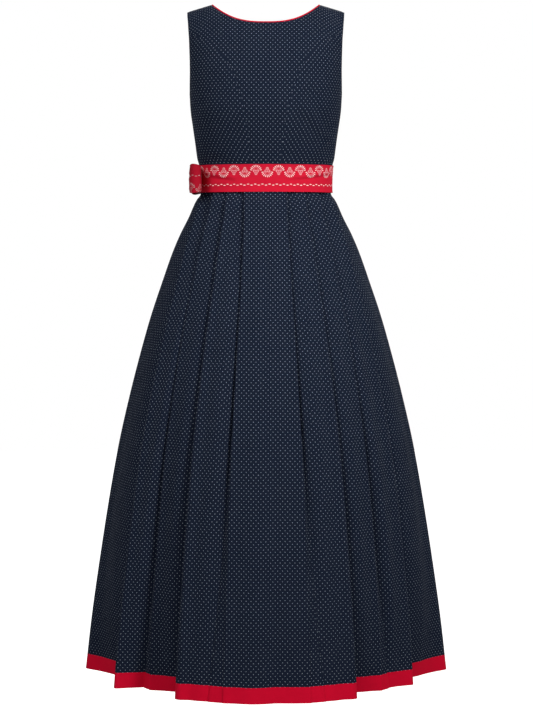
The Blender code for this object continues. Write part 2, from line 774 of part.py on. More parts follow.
def make_zip(material):
    """The slider, its two lugs, and the pull that hangs between them on its barrel."""
    top, down, outward = zip_frame()
    tilt = math.atan2(down[1], -down[2])
    lift = WALL / 2 + SEAM_GAP + SLIDER_SIZE[1] / 2
    slider = box("zip_slider", SLIDER_SIZE, material)
    slider.location = top + down * SLIDER_DROP + outward * lift
    slider.rotation_euler = (tilt, 0.0, 0.0)
    for side in (-1, 1):
        lug = box("zip_lug_" + ("left" if side == 1 else "right"), LUG_SIZE, material)
        reach = BARREL_WIDTH / 2 + HINGE_GAP + LUG_SIZE[0] / 2
        lug.location = (side * reach, SLIDER_SIZE[1] / 2 + LUG_SIZE[1] / 2 - 0.0004, 0.0)
        join_solid(slider, lug)
    hinge_lift = WALL / 2 + SEAM_GAP + SLIDER_SIZE[1] + HINGE_GAP + BARREL_RADIUS
    hinge = top + down * SLIDER_DROP + outward * hinge_lift
    pull = box("zip_pull", (1.0, 1.0, 1.0), material)
    bm = bmesh.new()
    outline = [(BARREL_WIDTH / 2, 0.0), (BARREL_WIDTH / 2, -0.0035), (PULL_WIDTH / 2, -0.0110)]
    radius = PULL_WIDTH / 2
    for i in range(1, 8):
        angle = math.radians(180.0 * i / 8)
        outline.append((radius * math.cos(angle), -PULL_LENGTH + radius - radius * math.sin(angle)))
    outline += [(-x, z) for x, z in reversed(outline[:3])]
    face = bm.faces.new([bm.verts.new((x, -PULL_THICKNESS / 2, z)) for x, z in outline])
    raised = bmesh.ops.extrude_face_region(bm, geom=[face])
    moved = [part for part in raised["geom"] if isinstance(part, bmesh.types.BMVert)]
    bmesh.ops.translate(bm, vec=(0.0, PULL_THICKNESS, 0.0), verts=moved)
    bmesh.ops.recalc_face_normals(bm, faces=bm.faces)
    bm.to_mesh(pull.data)
    bm.free()
    pull.location = hinge
    pull.rotation_euler = (tilt, 0.0, 0.0)
    barrel_mesh = bpy.data.meshes.new("zip_barrel")
    bm = bmesh.new()
    bmesh.ops.create_cone(
        bm, cap_ends=True, segments=12, radius1=BARREL_RADIUS, radius2=BARREL_RADIUS, depth=BARREL_WIDTH
    )
    bmesh.ops.rotate(bm, verts=bm.verts, matrix=Matrix.Rotation(math.radians(90.0), 3, "Y"))
    bm.to_mesh(barrel_mesh)
    bm.free()
    barrel = bpy.data.objects.new("zip_barrel", barrel_mesh)
    bpy.context.scene.collection.objects.link(barrel)
    join_solid(pull, barrel)


def main():
    clear_scene()
    navy = make_material("navy_cotton", (0.018, 0.024, 0.038), 0.85)
    red = make_material("red_cotton", (0.42, 0.008, 0.022), 0.80)
    print_red = make_material("red_print", (0.55, 0.012, 0.030), 0.75)
    metal = make_material("zip_metal", (0.05, 0.055, 0.07), 0.35, 0.9)
    make_bodice_front(navy)
    for name, side in (("left", 1), ("right", -1)):
        make_side_front("bodice_side_front_" + name, side, navy)
        make_bodice_back("bodice_back_" + name, side, navy)
    make_neck_piping(red)
    make_skirt(navy, red)
    make_belt(print_red)
    make_bow_loop("bow_loop_front", -1, 1.0, print_red)
    make_bow_loop("bow_loop_back", 1, BACK_LOOP_SHARE, print_red)
    make_bow_knot(print_red)
    make_zip(metal)


main()
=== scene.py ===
"""The looks of a long sleeveless folk dress: every cloth piece as a thin wall, its finish, and the studio.

Metres, +Z up. The front faces -Y and +X is the wearer's left. Each piece of cloth is a grid of points whose
columns run anticlockwise round the dress, seen from above, and whose rows run upward.
"""

import math
from collections import namedtuple

import bmesh
import bpy
import numpy as np
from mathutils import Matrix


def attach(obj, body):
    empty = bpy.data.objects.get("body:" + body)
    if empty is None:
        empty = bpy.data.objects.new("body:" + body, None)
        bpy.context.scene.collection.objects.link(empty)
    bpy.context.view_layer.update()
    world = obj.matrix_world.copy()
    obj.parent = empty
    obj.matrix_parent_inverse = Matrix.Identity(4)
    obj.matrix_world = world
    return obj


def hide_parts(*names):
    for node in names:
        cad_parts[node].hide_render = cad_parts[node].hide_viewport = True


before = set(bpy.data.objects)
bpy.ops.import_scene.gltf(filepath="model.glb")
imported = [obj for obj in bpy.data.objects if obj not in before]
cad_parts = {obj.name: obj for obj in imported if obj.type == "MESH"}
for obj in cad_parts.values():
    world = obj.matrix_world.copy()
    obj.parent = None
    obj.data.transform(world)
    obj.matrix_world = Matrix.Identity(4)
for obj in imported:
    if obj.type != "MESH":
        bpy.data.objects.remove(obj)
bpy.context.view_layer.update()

# Cloth. The solids' walls are a little thicker, and their seams a little wider than the sewn ones here.
WALL = 0.0011
SOLID_WALL = 0.0013
SEAM_GAP = 0.0003
SEWN_GAP = 0.00006
# Edges of cloth that turn by more than this, in degrees, are shown sharp
SHARP_TURN = 50

# Heights
SHOULDER = 0.0
UNDERARM = -0.168
BELT_TOP = -0.3085
WAIST_SEAM = -0.340
BELT_BOTTOM = -0.3619
BAND_TOP = -1.286
HEM = -1.316

# Neck and shoulders
NECK_HALF_WIDTH = 0.108
SHOULDER_TIP = 0.155
SHOULDER_DROP = 0.014
FRONT_NECK_DROP = 0.041
BACK_NECK_DROP = 0.055
NECK_ROUNDNESS = 2.7
PIPING_RADIUS = 0.0014
PIPING_EASE = 0.0004

# Armholes: how far the edge lies in front of and behind the shoulder line, as a share of the body's depth
ARMHOLE_SCOOP_FRONT = 0.62
ARMHOLE_SCOOP_BACK = 0.50
ARMHOLE_ROUNDNESS = 0.30
PRINCESS_END_SHARE = 0.485

# The body of the dress above the waist seam. Squareness 2 is an ellipse, and more is boxier.
Section = namedtuple("Section", "height half_width front back squareness")
BODICE_SECTIONS = (
    Section(WAIST_SEAM, 0.1300, 0.0950, 0.0950, 2.00),
    Section(-0.3085, 0.1318, 0.0965, 0.0950, 2.02),
    Section(-0.2960, 0.1352, 0.0985, 0.0955, 2.06),
    Section(-0.2640, 0.1395, 0.1050, 0.0970, 2.14),
    Section(-0.2320, 0.1440, 0.1125, 0.0990, 2.22),
    Section(-0.2000, 0.1483, 0.1175, 0.1020, 2.30),
    Section(UNDERARM, 0.1502, 0.1165, 0.1045, 2.36),
)
# Seen from the front, as (height, out): the armhole's edge, and the curved seam from each armhole over the
# bust to the waist
ARMHOLE_EDGE = (
    (UNDERARM, 0.1502),
    (-0.120, 0.1490),
    (-0.072, 0.1500),
    (-0.035, 0.1522),
    (SHOULDER, SHOULDER_TIP),
)
PRINCESS_SEAM = (
    (WAIST_SEAM, 0.0290),
    (-0.300, 0.0305),
    (-0.250, 0.0340),
    (-0.211, 0.0404),
    (-0.173, 0.0500),
    (-0.146, 0.0580),
    (-0.108, 0.0765),
    (-0.080, 0.1020),
    (-0.062, 0.1270),
    (-0.050, 0.1516),
)
BODICE_ROWS_LOW = 46
BODICE_ROWS_HIGH = 27
NECK_COLUMNS = 40
STRAP_COLUMNS = 12
SIDE_FRONT_COLUMNS = 34
# Halvings in a search for a place on the body, and the steps in which its lengths are measured
HALVINGS = 40
PATH_STEPS = 33
PROFILE_STEPS = 401

# The skirt's outside, over the pleats' outer edges, as (height, half width)
SKIRT_FLARE = (
    (WAIST_SEAM, 0.1292),
    (-0.3630, 0.1302),
    (-0.3770, 0.1394),
    (-0.4120, 0.1545),
    (-0.4440, 0.1705),
    (-0.4760, 0.1840),
    (-0.5400, 0.2065),
    (-0.6040, 0.2280),
    (-0.6680, 0.2465),
    (-0.7640, 0.2715),
    (-0.8600, 0.2935),
    (-0.9560, 0.3112),
    (-1.0840, 0.3318),
    (-1.2120, 0.3502),
    (HEM, 0.3622),
)
WAIST_HALF_DEPTH = 0.0940
HEM_HALF_DEPTH = 0.3225

LAYER_PITCH = 0.0020
WAIST_FOLD_DEPTH = 0.0064
WAIST_OVERLAP = 0.0160
EDGE_SETTLES = 0.070
FOLD_ROUNDNESS = 0.28
# How much later than the skirt widens its folds deepen
FOLD_DEEPENS = 1.5
# Each pleat: where its edge lies at the waist and the hem, in degrees round from the centre front, and at
# the hem how far its edge and its inner fold lie inside the flare and how far it laps the next.
Pleat = namedtuple("Pleat", "waist_turn hem_turn edge_depth fold_depth overlap")
PLEATS_LEFT = (
    Pleat(20.0, 13.5, 0.000, 0.007, -0.030),
    Pleat(38.0, 29.5, 0.005, 0.072, 0.024),
    Pleat(56.0, 43.5, 0.041, 0.047, -0.028),
    Pleat(80.0, 60.5, 0.030, 0.085, 0.020),
    Pleat(103.0, 92.0, 0.000, 0.070, 0.024),
    Pleat(121.0, 113.0, 0.030, 0.044, -0.015),
    Pleat(139.0, 132.0, 0.000, 0.074, 0.026),
    Pleat(158.0, 155.0, 0.024, 0.040, -0.018),
    Pleat(179.2, 179.2, 0.000, 0.060, 0.030),
)
PLEATS_RIGHT = (
    Pleat(21.5, 12.8, 0.000, 0.007, -0.030),
    Pleat(38.0, 29.0, 0.000, 0.078, 0.026),
    Pleat(55.0, 44.0, 0.044, 0.050, -0.028),
    Pleat(80.0, 57.0, 0.004, 0.096, 0.020),
    Pleat(103.0, 94.0, 0.000, 0.068, 0.024),
    Pleat(121.0, 115.0, 0.026, 0.042, -0.016),
    Pleat(139.0, 135.0, 0.000, 0.078, 0.026),
    Pleat(158.0, 154.0, 0.022, 0.036, -0.016),
    Pleat(179.2, 179.2, 0.000, 0.060, 0.030),
)
POINTS_PER_PLEAT = 8
SIDE_SEAM_PLEAT = 5
# Steps between one point of a pleat and the next: up out of the last fold, its face in two stretches, its
# outer edge, the cloth that goes back under it and its inner fold
PLEAT_STEPS = (5, 4, 6, 3, 3, 5, 2, 2)
SKIRT_ROWS = 84
# The height above which the rows lie closer, and how many of them do
HIP = -0.52
HIP_ROWS = 26
BAND_ROWS = 7

BELT_EASE = 0.0006
BELT_STEPS = 240
# How much deeper the inner folds hang below the belt than at the waist seam, and the share of their overlap
# that they give up for it
FOLD_OPENING = 0.011
FOLD_GIVES = 0.30
# How far below the waist seam the belt holds the folds flat, and over how much more they open and round off
BELT_HOLDS = 0.026
FOLDS_OPEN_OVER = 0.035
FOLDS_ROUND_OVER = 0.12
BELT_STITCH_INSET = 0.002
# How far past the pleat over it each face comes up out of its fold, below the belt and low down, and how
# much of the fold's depth it makes up at once
CREST_REACH = (0.0040, 0.018)
CREST_SHARE = 0.80

# Bow on the wearer's right
KNOT_SIZE = (0.0165, 0.026, 0.036)
LOOP_LENGTH = 0.070
LOOP_THICKNESS = 0.0205
# How far each loop leans in towards the waist, as a share of its length
LOOP_LEAN = 0.08
# How far the loops' plain edge reaches past the belt's
LOOP_HEM = 0.0105
LOOP_HEIGHT = 0.0600
LOOP_THROAT_HEIGHT = 0.0260
LOOP_THROAT_WIDTH = 0.0070
BACK_LOOP_SHARE = 0.94
BOW_HEIGHT = 0.5 * (BELT_TOP + BELT_BOTTOM)
BOW_CENTRE = -(BODICE_SECTIONS[0].half_width + 2.5 * SOLID_WALL + KNOT_SIZE[0] / 2)

# Prints
FAN_PITCH = 0.022
DOT_ACROSS = 0.0092
DOT_DOWN = 0.0100
DOT_RADIUS = 0.00061
DASH_PITCH = 0.0070

# Camera and stage
CAMERA_DISTANCE = 4.2
CAMERA_HEIGHT = -0.456
CAMERA_ASIDE = 0.0014
CAMERA_TILT = 3.123
# How many of the picture's 711 rows one metre takes up at a metre from the camera
CAMERA_FOCUS = 2111.0
PICTURE_ROWS = 711.0
SENSOR_HEIGHT = 36.0
FLOOR = HEM - 0.45
FLOOR_RADIUS = 9.0
LIGHT_SPREAD = 64.0
# What the air lights by itself, where the camera sees it as white
AIR_LIGHT = 0.31


def mix(a, b, share):
    return a + (b - a) * share


def unit(vectors):
    return vectors / np.maximum(np.linalg.norm(vectors, axis=-1, keepdims=True), 1e-12)


def run_along(line):
    """How far each point of a line lies from its start, along it."""
    return np.concatenate([[0.0], np.cumsum(np.linalg.norm(np.diff(line, axis=0), axis=-1))])


def curve(pairs):
    """A smooth line through (at, value) pairs that never overshoots, as a function of numbers or arrays."""
    xs, ys = np.array(sorted(pairs)).T
    steps = np.diff(xs)
    slopes = np.diff(ys) / steps
    inner = np.zeros(len(slopes) - 1)
    same_way = slopes[:-1] * slopes[1:] > 0
    inner[same_way] = 2 / (1 / slopes[:-1][same_way] + 1 / slopes[1:][same_way])
    tangents = np.concatenate([slopes[:1], inner, slopes[-1:]])

    def value(at):
        at = np.clip(at, xs[0], xs[-1])
        i = np.minimum(np.searchsorted(xs, at, side="right") - 1, len(steps) - 1)
        t = (at - xs[i]) / steps[i]
        return (
            ys[i] * (1 + 2 * t) * (1 - t) ** 2
            + tangents[i] * steps[i] * t * (1 - t) ** 2
            + ys[i + 1] * t * t * (3 - 2 * t)
            + tangents[i + 1] * steps[i] * t * t * (t - 1)
        )

    return value


body_half_width = curve([(s.height, s.half_width) for s in BODICE_SECTIONS])
body_front = curve([(s.height, s.front) for s in BODICE_SECTIONS])
body_back = curve([(s.height, s.back) for s in BODICE_SECTIONS])
body_squareness = curve([(s.height, s.squareness) for s in BODICE_SECTIONS])
armhole_out = curve(ARMHOLE_EDGE)
princess_out = curve(PRINCESS_SEAM)
skirt_half_width = curve(SKIRT_FLARE)


# The bodice's surface. rise is 0 at the waist seam, 1 at the underarm and 2 at the shoulder seam, and
# turn goes from 0 at the centre front through 90 at the side to 180 at the centre back.


def shoulder_roll(rise):
    return np.radians(90.0) * np.maximum(rise - 1.0, 0.0)


def rise_at(height):
    low = (height - WAIST_SEAM) / (UNDERARM - WAIST_SEAM)
    share = np.clip((height - UNDERARM) / (SHOULDER - UNDERARM), 0.0, 1.0)
    return np.where(height <= UNDERARM, low, 1.0 + np.arcsin(share) / np.radians(90.0))


LOW_RISES = rise_at(np.linspace(WAIST_SEAM, UNDERARM, BODICE_ROWS_LOW))


def height_at(rise):
    low = mix(WAIST_SEAM, UNDERARM, rise)
    return np.where(rise <= 1.0, low, mix(UNDERARM, SHOULDER, np.sin(shoulder_roll(rise))))


def armhole_scoop(rise, back):
    most = ARMHOLE_SCOOP_BACK if back else ARMHOLE_SCOOP_FRONT
    return most * np.maximum(rise - 1.0, 0.0) ** ARMHOLE_ROUNDNESS


def torso_section(rise, back):
    """Half width, depth and squareness of the body at a rise."""
    height = height_at(rise)
    level = np.minimum(height, UNDERARM)
    depth = (body_back if back else body_front)(level) * np.cos(shoulder_roll(rise))
    squareness = body_squareness(level)
    scoop = armhole_scoop(rise, back)
    spread = (1.0 - scoop**squareness) ** (1.0 / squareness)
    half_width = np.where(rise <= 1.0, body_half_width(level), armhole_out(height) / spread)
    return half_width, depth, squareness


def armhole_turn(rise, back):
    """The turn of the armhole's edge, or of the side seam below it."""
    squareness = torso_section(rise, back)[2]
    turn = np.degrees(np.arccos(armhole_scoop(rise, back) ** (squareness / 2.0)))
    return 180.0 - turn if back else turn


def torso_points(turn, rise, back):
    """Points on the wearer's left."""
    half_width, depth, squareness = torso_section(rise, back)
    angle = np.radians(180.0 - turn if back else turn)
    power = 2.0 / squareness
    out = half_width * np.maximum(np.sin(angle), 0.0) ** power
    forward = depth * np.maximum(np.cos(angle), 0.0) ** power
    past_neck = np.maximum(out, NECK_HALF_WIDTH) - 0.5 * (NECK_HALF_WIDTH + SHOULDER_TIP)
    slope = SHOULDER_DROP / (SHOULDER_TIP - NECK_HALF_WIDTH)
    sloped = past_neck * slope * np.sin(shoulder_roll(rise)) ** 2
    return np.stack([out, forward if back else -forward, height_at(rise) - sloped], axis=-1)


def princess_turn(rise):
    half_width, _, squareness = torso_section(rise, False)
    out = princess_out(height_at(rise))
    return np.degrees(np.arcsin(np.minimum(out / half_width, 1.0) ** (squareness / 2.0)))


def front_outer_turn(rise):
    """The front piece's outer edge: the princess seam, and the armhole above its end."""
    armhole = armhole_turn(rise, False)
    below = rise - 1.0 < PRINCESS_END_SHARE - 1e-6
    return np.where(below, np.minimum(princess_turn(rise), armhole), armhole)


def back_outer_turn(rise):
    return armhole_turn(rise, True)


def column_turn(share, outer, back):
    return mix(180.0, outer, share) if back else outer * share


def neck_height(out, back):
    drop = BACK_NECK_DROP if back else FRONT_NECK_DROP
    share = np.minimum(np.abs(out) / NECK_HALF_WIDTH, 1.0)
    return 0.5 * SHOULDER_DROP - drop * (1.0 - share**NECK_ROUNDNESS)


def neck_rise(share, outer_turn, back):
    """The rise at which each column meets the neck edge, or 2 where it runs on to the shoulder seam."""

    def above_edge(rise):
        point = torso_points(column_turn(share, outer_turn(rise), back), rise, back)
        return point[..., 2] - neck_height(point[..., 0], back)

    low = np.full(np.shape(share), 1.0)
    high = np.full(np.shape(share), 2.0)
    runs_on = above_edge(high) < 1e-9
    for _ in range(HALVINGS):
        middle = 0.5 * (low + high)
        below = above_edge(middle) < 0
        low = np.where(below, middle, low)
        high = np.where(below, high, middle)
    return np.where(runs_on, 2.0, low)


def strap_share(outer_turn, back):
    """The column at which the neck edge meets the shoulder seam, as a share of the panel's width."""
    low, high = 0.0, 1.0
    for _ in range(HALVINGS):
        middle = 0.5 * (low + high)
        if neck_rise(np.array([middle]), outer_turn, back)[0] < 2.0:
            low = middle
        else:
            high = middle
    return high


def shoulder_shares():
    below = np.linspace(0.0, PRINCESS_END_SHARE, BODICE_ROWS_HIGH)[1:]
    above = np.linspace(PRINCESS_END_SHARE, 1.0, BODICE_ROWS_HIGH)[1:]
    return below, above


def half_panel(outer_turn, back):
    """Points of half a front, or of a back, on the wearer's left, from its centre to its outer edge."""
    strap = strap_share(outer_turn, back)
    neck = np.linspace(0.0, strap, NECK_COLUMNS, endpoint=False)
    shares = np.concatenate([neck, np.linspace(strap, 1.0, STRAP_COLUMNS + 1)])
    tops = neck_rise(shares, outer_turn, back)
    rows = [np.full(shares.shape, rise) for rise in LOW_RISES]
    rows += [1.0 + (tops - 1.0) * share for share in np.concatenate(shoulder_shares())]
    rises = np.array(rows)
    turns = column_turn(shares[None, :], outer_turn(rises), back)
    flat = body_lengths(turns, rises, back, 180.0 if back else 0.0)
    return torso_points(turns, rises, back), flat


def body_lengths(turns, rises, back, grain_turn):
    """How far each place lies round the body from the turn that the grain follows, and up from the waist."""
    shares = np.linspace(0.0, 1.0, PATH_STEPS)[:, None, None]
    paths = torso_points(mix(grain_turn, turns, shares), rises, back)
    across = np.linalg.norm(np.diff(paths, axis=0), axis=-1).sum(axis=0) * np.sign(turns - grain_turn)
    profile_rises = np.linspace(0.0, 2.0, PROFILE_STEPS)
    profile = torso_points(np.full(PROFILE_STEPS, 180.0 if back else 0.0), profile_rises, back)
    return across, np.interp(rises, profile_rises, run_along(profile))


def mirrored(grid):
    """A grid of points of the wearer's left, on the right."""
    return (grid * np.array([-1.0, 1.0, 1.0]))[:, ::-1]


def mirrored_flat(flat):
    across, up = flat
    return -across[:, ::-1], up[:, ::-1]


# Soft relief. A crease is a line that the cloth rises or sinks along, seen from the front or from the back.

Crease = namedtuple("Crease", "start end width rise")
FRONT_CREASES = (
    Crease((0.074, -0.167), (0.130, -0.251), 0.011, -0.0030),
    Crease((0.060, -0.176), (0.118, -0.262), 0.012, 0.0022),
    Crease((0.070, -0.2155), (0.1245, -0.274), 0.010, -0.0024),
    Crease((0.099, -0.303), (0.1265, -0.274), 0.008, -0.0020),
    Crease((-0.096, -0.157), (-0.129, -0.200), 0.011, -0.0024),
    Crease((-0.084, -0.164), (-0.118, -0.212), 0.012, 0.0020),
    Crease((-0.072, -0.3010), (-0.120, -0.2960), 0.009, -0.0026),
    Crease((-0.050, -0.250), (-0.062, -0.215), 0.013, -0.0016),
    Crease((-0.113, -0.096), (-0.141, -0.103), 0.006, -0.0014),
    Crease((-0.116, -0.118), (-0.141, -0.126), 0.006, -0.0012),
    Crease((0.112, -0.090), (0.140, -0.098), 0.006, -0.0012),
    Crease((-0.036, -0.147), (0.046, -0.147), 0.016, -0.0014),
    Crease((-0.004, -0.266), (0.027, -0.2155), 0.012, -0.0012),
    Crease((0.036, -0.292), (0.070, -0.300), 0.009, -0.0014),
    Crease((-0.020, -0.300), (0.022, -0.296), 0.010, -0.0010),
)
BACK_CREASES = (
    Crease((0.030, -0.296), (0.088, -0.300), 0.009, -0.0026),
    Crease((0.024, -0.272), (0.104, -0.268), 0.010, -0.0020),
    Crease((-0.028, -0.290), (-0.096, -0.284), 0.010, -0.0026),
    Crease((-0.022, -0.262), (-0.084, -0.252), 0.011, -0.0018),
    Crease((0.092, -0.160), (0.128, -0.205), 0.011, -0.0022),
    Crease((-0.090, -0.166), (-0.130, -0.214), 0.012, -0.0024),
    Crease((-0.114, -0.094), (-0.142, -0.100), 0.006, -0.0012),
    Crease((0.112, -0.098), (0.140, -0.106), 0.006, -0.0012),
    Crease((-0.040, -0.140), (0.030, -0.128), 0.017, -0.0012),
)


def crease_relief(out, height, creases):
    """How far the cloth stands out at places seen from in front or behind, from creases with soft ends."""
    here = np.stack([out, height], axis=-1)
    relief = np.zeros(here.shape[:-1])
    for crease in creases:
        start = np.array(crease.start)
        along = np.array(crease.end) - start
        share = np.clip((here - start) @ along / (along @ along), 0.0, 1.0)
        away = np.linalg.norm(here - start - share[..., None] * along, axis=-1)
        fade = 0.35 + 0.65 * np.sin(np.pi * np.clip(share, 0.02, 0.98)) ** 0.6
        relief += crease.rise * fade * np.exp(-((away / crease.width) ** 2))
    return relief


def grid_normals(grid, closed=False):
    """Unit vectors out of the cloth."""
    if closed:
        around = np.roll(grid, -1, axis=1) - np.roll(grid, 1, axis=1)
    else:
        around = np.gradient(grid, axis=1)
    return unit(np.cross(around, np.gradient(grid, axis=0)))


def relieved(grid, creases):
    """A bodice panel with its creases, which die away at its seams."""
    relief = crease_relief(grid[..., 0], grid[..., 2], creases)
    columns = np.arange(grid.shape[1])
    from_side = np.minimum(columns, columns[::-1]) / 3.0
    relief = relief * np.clip(from_side, 0.0, 1.0)[None, :]
    return grid + grid_normals(grid) * relief[..., None]


# Where each edge of a grid lies, and the points just inside it
EDGES = {
    "first_column": (np.s_[:, 0], np.s_[:, 1]),
    "last_column": (np.s_[:, -1], np.s_[:, -2]),
    "first_row": (np.s_[0], np.s_[1]),
    "last_row": (np.s_[-1], np.s_[-2]),
}
SIDE_SEAMS = ("first_column", "last_column")


def drawn_in(grid, edges):
    """Draws back the edges that are sewn to another piece, by half of the sewn gap."""
    grid = grid.copy()
    for edge in edges:
        at, inside = EDGES[edge]
        grid[at] += unit(grid[inside] - grid[at]) * SEWN_GAP / 2
    return grid


def seam_sink(grid, depth=0.0007, reach=0.004):
    """Pulls a panel in a little along its side seams, as the stitches do."""
    sink = np.zeros(grid.shape[:2])
    for column in (0, -1):
        away = np.linalg.norm(grid - grid[:, [column]], axis=-1)
        sink = np.maximum(sink, depth * np.exp(-((away / reach) ** 2)))
    return grid - grid_normals(grid) * sink[..., None]


# Walls of cloth


def lengths_along(grid, axis):
    """How far each point lies from the grid's first along its rows or columns."""
    steps = np.linalg.norm(np.diff(grid, axis=axis), axis=-1)
    sizes = list(grid.shape[:2])
    sizes[axis] = 1
    return np.concatenate([np.zeros(sizes), np.cumsum(steps, axis=axis)], axis=axis)


def grid_quads(rows, columns, closed):
    """The quads of a grid of points, row by row."""
    j = np.arange(columns if closed else columns - 1)
    k = (j + 1) % columns
    i = np.arange(rows - 1)[:, None] * columns
    return np.stack([i + j, i + k, i + columns + k, i + columns + j], axis=-1).reshape(-1, 4)


def new_mesh(name, points, faces):
    mesh = bpy.data.meshes.new(name)
    mesh.from_pydata(points.reshape(-1, 3).tolist(), [], faces)
    return mesh


def turn_faces_out(mesh):
    bm = bmesh.new()
    bm.from_mesh(mesh)
    bmesh.ops.recalc_face_normals(bm, faces=bm.faces)
    bm.to_mesh(mesh)
    bm.free()


def add_smooth(name, mesh, material):
    mesh.shade_smooth()
    mesh.set_sharp_from_angle(angle=math.radians(SHARP_TURN))
    return add_object(name, mesh, material)


def add_object(name, mesh, material):
    mesh.materials.append(material)
    obj = bpy.data.objects.new(name, mesh)
    bpy.context.scene.collection.objects.link(obj)
    return obj


def wall(name, grid, material, origins=None, closed=False, flat=None):
    """A closed wall of cloth round a grid of middle points, with a UV map in metres on the flat cloth.

    flat gives the map as the two lengths at each point. Without it they are measured, and origins gives,
    for each column of quads, the column that the width is measured from.
    """
    rows, columns = grid.shape[:2]
    half = grid_normals(grid, closed) * WALL / 2
    count = rows * columns
    outer = grid_quads(rows, columns, closed)
    quad_columns = columns if closed else columns - 1
    j = np.arange(quad_columns)
    k = (j + 1) % columns
    bottom = np.stack([j, j + count, k + count, k], axis=-1)
    faces = [outer, outer[:, ::-1] + count, bottom, bottom[:, [0, 3, 2, 1]] + (rows - 1) * columns]
    if not closed:
        up = np.arange(rows - 1) * columns
        end = np.stack([up, up + columns, up + columns + count, up + count], axis=-1)
        faces += [end, end[:, [0, 3, 2, 1]] + columns - 1]
    quads = np.concatenate(faces)
    mesh = new_mesh(name, np.concatenate([grid + half, grid - half]), quads.tolist())
    across, up_cloth = flat or (lengths_along(grid, 1), lengths_along(grid, 0))
    if origins is None:
        origins = np.full(quad_columns, columns // 2)
    corner_rows = (quads % count) // columns
    corner_columns = (quads % count) % columns
    quad_column = np.minimum(corner_columns.min(axis=1), quad_columns - 1)
    wraps = corner_columns.max(axis=1) - corner_columns.min(axis=1) > 1
    quad_column[wraps] = columns - 1
    widths = across[corner_rows, corner_columns]
    if closed:
        girth = across[:, -1] + np.linalg.norm(grid[:, 0] - grid[:, -1], axis=-1)
        wrapped = wraps[:, None] & (corner_columns == 0)
        widths = np.where(wrapped, girth[corner_rows], widths)
    elif flat is None:
        widths = widths - across[corner_rows, origins[quad_column][:, None]]
    uv = np.stack([widths, up_cloth[corner_rows, corner_columns]], axis=-1)
    layer = mesh.uv_layers.new(name="flat cloth")
    layer.data.foreach_set("uv", uv.reshape(-1).astype(np.float32))
    mesh.validate()
    return add_smooth(name, mesh, material)


# Bodice


def inset_line(grid, rows, column, inset=0.005):
    """A line just inside a panel's side edge and the way out of the cloth along it."""
    inner = 4 if column == 0 else -5
    edge = grid[rows, column]
    across = grid[rows, inner] - edge
    width = np.linalg.norm(across, axis=-1, keepdims=True)
    return edge + across * np.minimum(inset / width, 1.0), grid_normals(grid)[rows, inner]


def make_panel(name, grid, flat, creases, ends, material):
    """A bodice panel sewn at its sides and at the named ends, and its points before they are drawn in."""
    grid = seam_sink(relieved(grid, creases))
    return wall(name, drawn_in(grid, (*SIDE_SEAMS, *ends)), material, flat=flat), grid


def on_side(side, grid, flat):
    return (grid, flat) if side > 0 else (mirrored(grid), mirrored_flat(flat))


def make_bodice_front(material):
    left, flat = half_panel(front_outer_turn, False)
    grid = np.concatenate([mirrored(left)[:, :-1], left], axis=1)
    flat = [np.concatenate([m[:, :-1], f], axis=1) for m, f in zip(mirrored_flat(flat), flat)]
    panel, grid = make_panel("front_panel", grid, flat, FRONT_CREASES, ("first_row", "last_row"), material)
    above_princess = slice(BODICE_ROWS_LOW + BODICE_ROWS_HIGH, -1)
    return panel, [inset_line(grid, above_princess, column) for column in (0, -1)]


def side_front_grid():
    """From the princess seam to the side seam and the armhole, narrowing to a point where the two meet."""
    tip = 1.0 + PRINCESS_END_SHARE * np.linspace(0.0, 0.995, BODICE_ROWS_HIGH)[1:]
    rises = np.concatenate([LOW_RISES, tip])[:, None]
    inner = np.minimum(princess_turn(rises), armhole_turn(rises, False))
    shares = np.linspace(0.0, 1.0, SIDE_FRONT_COLUMNS)[None, :]
    turns = mix(inner, armhole_turn(rises, False), shares)
    rises = np.broadcast_to(rises, turns.shape)
    return torso_points(turns, rises, False), body_lengths(turns, rises, False, 90.0)


def make_side_front(name, side, material):
    grid, flat = on_side(side, *side_front_grid())
    panel, grid = make_panel(name, grid, flat, FRONT_CREASES, ("first_row",), material)
    return panel, [inset_line(grid, slice(BODICE_ROWS_LOW, -8), -1 if side > 0 else 0)]


def make_bodice_back(name, side, material):
    grid, flat = half_panel(back_outer_turn, True)
    grid, flat = on_side(side, grid[:, ::-1], [f[:, ::-1] for f in flat])
    panel, grid = make_panel(name, grid, flat, BACK_CREASES, ("first_row", "last_row"), material)
    return panel, [inset_line(grid, slice(BODICE_ROWS_LOW, -1), 0 if side > 0 else -1)]


# Skirt


def flare(height):
    """Half width and half depth of the skirt over its pleats' outer edges."""
    half_width = float(skirt_half_width(height))
    waist, hem = SKIRT_FLARE[0][1], SKIRT_FLARE[-1][1]
    return half_width, mix(WAIST_HALF_DEPTH, HEM_HALF_DEPTH, (half_width - waist) / (hem - waist))


def skirt_place(turn, depth, height):
    """A point inside the flare by its depth, in plan."""
    half_width, half_depth = flare(height)
    angle = math.radians(turn)
    normal = np.array([half_depth * math.sin(angle), -half_width * math.cos(angle)])
    point = np.array([half_width * math.sin(angle), -half_depth * math.cos(angle)])
    return point - unit(normal) * depth


def arc_per_degree(turn, height):
    half_width, half_depth = flare(height)
    angle = math.radians(turn)
    return math.radians(math.hypot(half_width * math.cos(angle), half_depth * math.sin(angle)))


Fold = namedtuple("Fold", "edge_turn edge_depth inner_turn inner_depth width")


